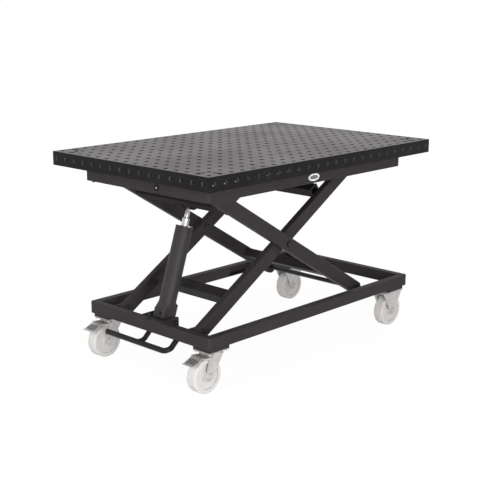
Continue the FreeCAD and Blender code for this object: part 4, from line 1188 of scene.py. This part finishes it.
    def leg_lips(self, name: str, body: str, hand: int, edges: Rows) -> None:
        """The rolled edges inside a fork's two legs: rounded bars along each edge.

        Args:
            name: The piece's name.
            body: The body that carries the fork.
            hand: The sign of Y at that caster.
            edges: Each edge's lower and upper end, in X and Z.
        """
        bars = []
        for low_x, low_z, high_x, high_z in edges:
            for aside in (-self.lip_y, self.lip_y):
                y = hand * self.caster_y + aside
                bars.append(rounded_bar((low_x, y, low_z), (high_x, y, high_z), Axis.Y.value,
                                        self.lip_width, self.lip_depth))
        self.add(name, body, bars, PAINT.zinc, "zinc")


@dataclass(frozen=True)
class Lamp:
    """One soft area light.

    Attributes:
        name: Its name.
        place: Where it hangs.
        aim: What it points at.
        size: Its width.
        watts: Its power.
        mirrored: Whether gloss shows it, or the white surround alone.
    """

    name: str
    place: Point
    aim: Point
    size: float
    watts: float
    mirrored: bool = False

    def hang(self) -> None:
        """Add the light to the scene."""
        light = bpy.data.lights.new(self.name, "AREA")
        light.shape = "DISK"
        light.size = self.size
        light.energy = self.watts
        lamp = bpy.data.objects.new(self.name, light)
        lamp.visible_glossy = self.mirrored
        point_at(lamp, self.place, self.aim)


def point_at(item: bpy.types.Object, place: Point, aim: Point) -> None:
    """Put a lamp or a camera into the scene.

    Args:
        item: The lamp or camera.
        place: Where it goes.
        aim: What it looks at.
    """
    item.location = place
    item.rotation_euler = (Vector(aim) - Vector(place)).to_track_quat("-Z", "Y").to_euler()
    bpy.context.scene.collection.objects.link(item)


@dataclass
class Studio:
    """Floor, world, lights and the camera at the photograph's viewing angle.

    Attributes:
        floor_half: Half of the floor's side.
        floor_matt: How much light the floor gives back.
        floor_white: How far the floor shows its own white, near the table and away from it.
        floor_ring: The distances where the one ends and the other begins.
        floor_glow: The strength of that white.
        world_fill: The surround's strength as a light.
    """

    camera_place: Point = (-2.7918, -2.6347, 1.31725)
    camera_aim: Point = (-0.61724, -0.54573, 0.59783)
    lens: float = 77.374
    sensor: float = 36.0
    floor_half: float = 40.0
    floor_matt: float = 0.88
    floor_white: Pair = (0.87, 0.93)
    floor_ring: Pair = (1.2, 3.5)
    floor_glow: float = 1.064
    world_fill: float = 0.42
    lamps: tuple[Lamp, ...] = (
        Lamp("right_light", (-1.2, -4.2, 1.7), (0.0, 0.0, 0.45), 2.0, 46.0),
        Lamp("front_light", (-4.4, -0.2, 1.75), (0.0, 0.0, 0.45), 2.0, 87.0),
        Lamp("low_light", (-2.2, -3.65, 0.7), (-0.4, 0.0, 0.15), 1.0, 78.0, mirrored=True),
        Lamp("rear_light", (4.4, 0.9, 0.55), (0.0, 0.0, 0.4), 1.4, 60.0),
        Lamp("left_light", (1.2, 4.2, 0.55), (0.0, 0.0, 0.4), 1.4, 60.0),
    )

    def build(self) -> None:
        """Set up everything that isn't part of the table."""
        self._floor()
        self._world()
        for lamp in self.lamps:
            lamp.hang()
        self._camera()
        bpy.context.scene.view_settings.view_transform = "Standard"

    @staticmethod
    def _seen_white(graph: Graph) -> Signal:
        """Which rays look at the background, straight, in a reflection or through glass.

        Args:
            graph: The nodes of the floor or the world.

        Returns:
            1 for those rays and 0 for light.
        """
        rays = [graph.add("ShaderNodeLightPath", {}, {}, name)
                for name in ("Is Camera Ray", "Is Glossy Ray", "Is Transmission Ray")]
        return (rays[0] + rays[1] + rays[2]).clamped()

    def _floor(self) -> None:
        """A pale floor that shows nearly white, and whiter away from the table."""
        half = self.floor_half
        mesh = bpy.data.meshes.new("floor")
        square = [(-half, -half, 0.0), (half, -half, 0.0), (half, half, 0.0), (-half, half, 0.0)]
        mesh.from_pydata(square, [], [(0, 1, 2, 3)])
        floor = bpy.data.objects.new("floor", mesh)
        bpy.context.scene.collection.objects.link(floor)
        material = bpy.data.materials.new("pale_floor")
        material.use_nodes = True
        graph = Graph(material.node_tree)
        colours = [(value, value, value, 1.0) for value in (self.floor_matt, 1.0)]
        matt = graph.add("ShaderNodeBsdfDiffuse", {}, {"Color": colours[0]})
        white = {"Color": colours[1], "Strength": self.floor_glow}
        glow = graph.add("ShaderNodeEmission", {}, white)
        (near, far), (start, end) = self.floor_white, self.floor_ring
        along, aside = graph.coordinate("X"), graph.coordinate("Y")
        away = (along * along + aside * aside).step(start**2, end**2)
        share = self._seen_white(graph) * (near + away * (far - near))
        graph.close(graph.add("ShaderNodeMixShader", {}, {0: share, 1: matt, 2: glow}))
        mesh.materials.append(material)

    def _world(self) -> None:
        """A white surround, dimmer as a light than it looks."""
        world = bpy.data.worlds.new("studio")
        world.use_nodes = True
        bpy.context.scene.world = world
        graph = Graph(world.node_tree)
        strength = self._seen_white(graph) * (1.0 - self.world_fill) + self.world_fill
        white = {"Color": (1.0, 1.0, 1.0, 1.0), "Strength": strength}
        graph.close(graph.add("ShaderNodeBackground", {}, white), "ShaderNodeOutputWorld")

    def _camera(self) -> None:
        """The camera, without shift or depth of field."""
        lens = bpy.data.cameras.new("camera")
        lens.lens = self.lens
        lens.sensor_width = self.sensor
        lens.clip_end = 200.0
        camera = bpy.data.objects.new("camera", lens)
        point_at(camera, self.camera_place, self.camera_aim)
        bpy.context.scene.camera = camera


def corners(box: tuple[Vector, Vector]) -> list[list[float]]:
    """A box's two corners as plain lists."""
    return [list(corner) for corner in box]


def main() -> None:
    """Load the frame, dress it, add the small pieces and set up the studio."""
    logging.basicConfig(level=logging.INFO, format="%(name)s: %(message)s")
    bpy.ops.wm.read_factory_settings(use_empty=True)
    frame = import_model()
    paints = Paints()
    shop = Shop(frame, paints, Former(paints), smooth_by_angle(SMOOTH_EDGE))
    for kind in (FixturePlate, Frames, Scissor, Pump, Casters):
        kind(shop).build()
        LOG.info("dressed %s", kind.__name__)
    Studio().build()


if __name__ == "__main__":
    main()
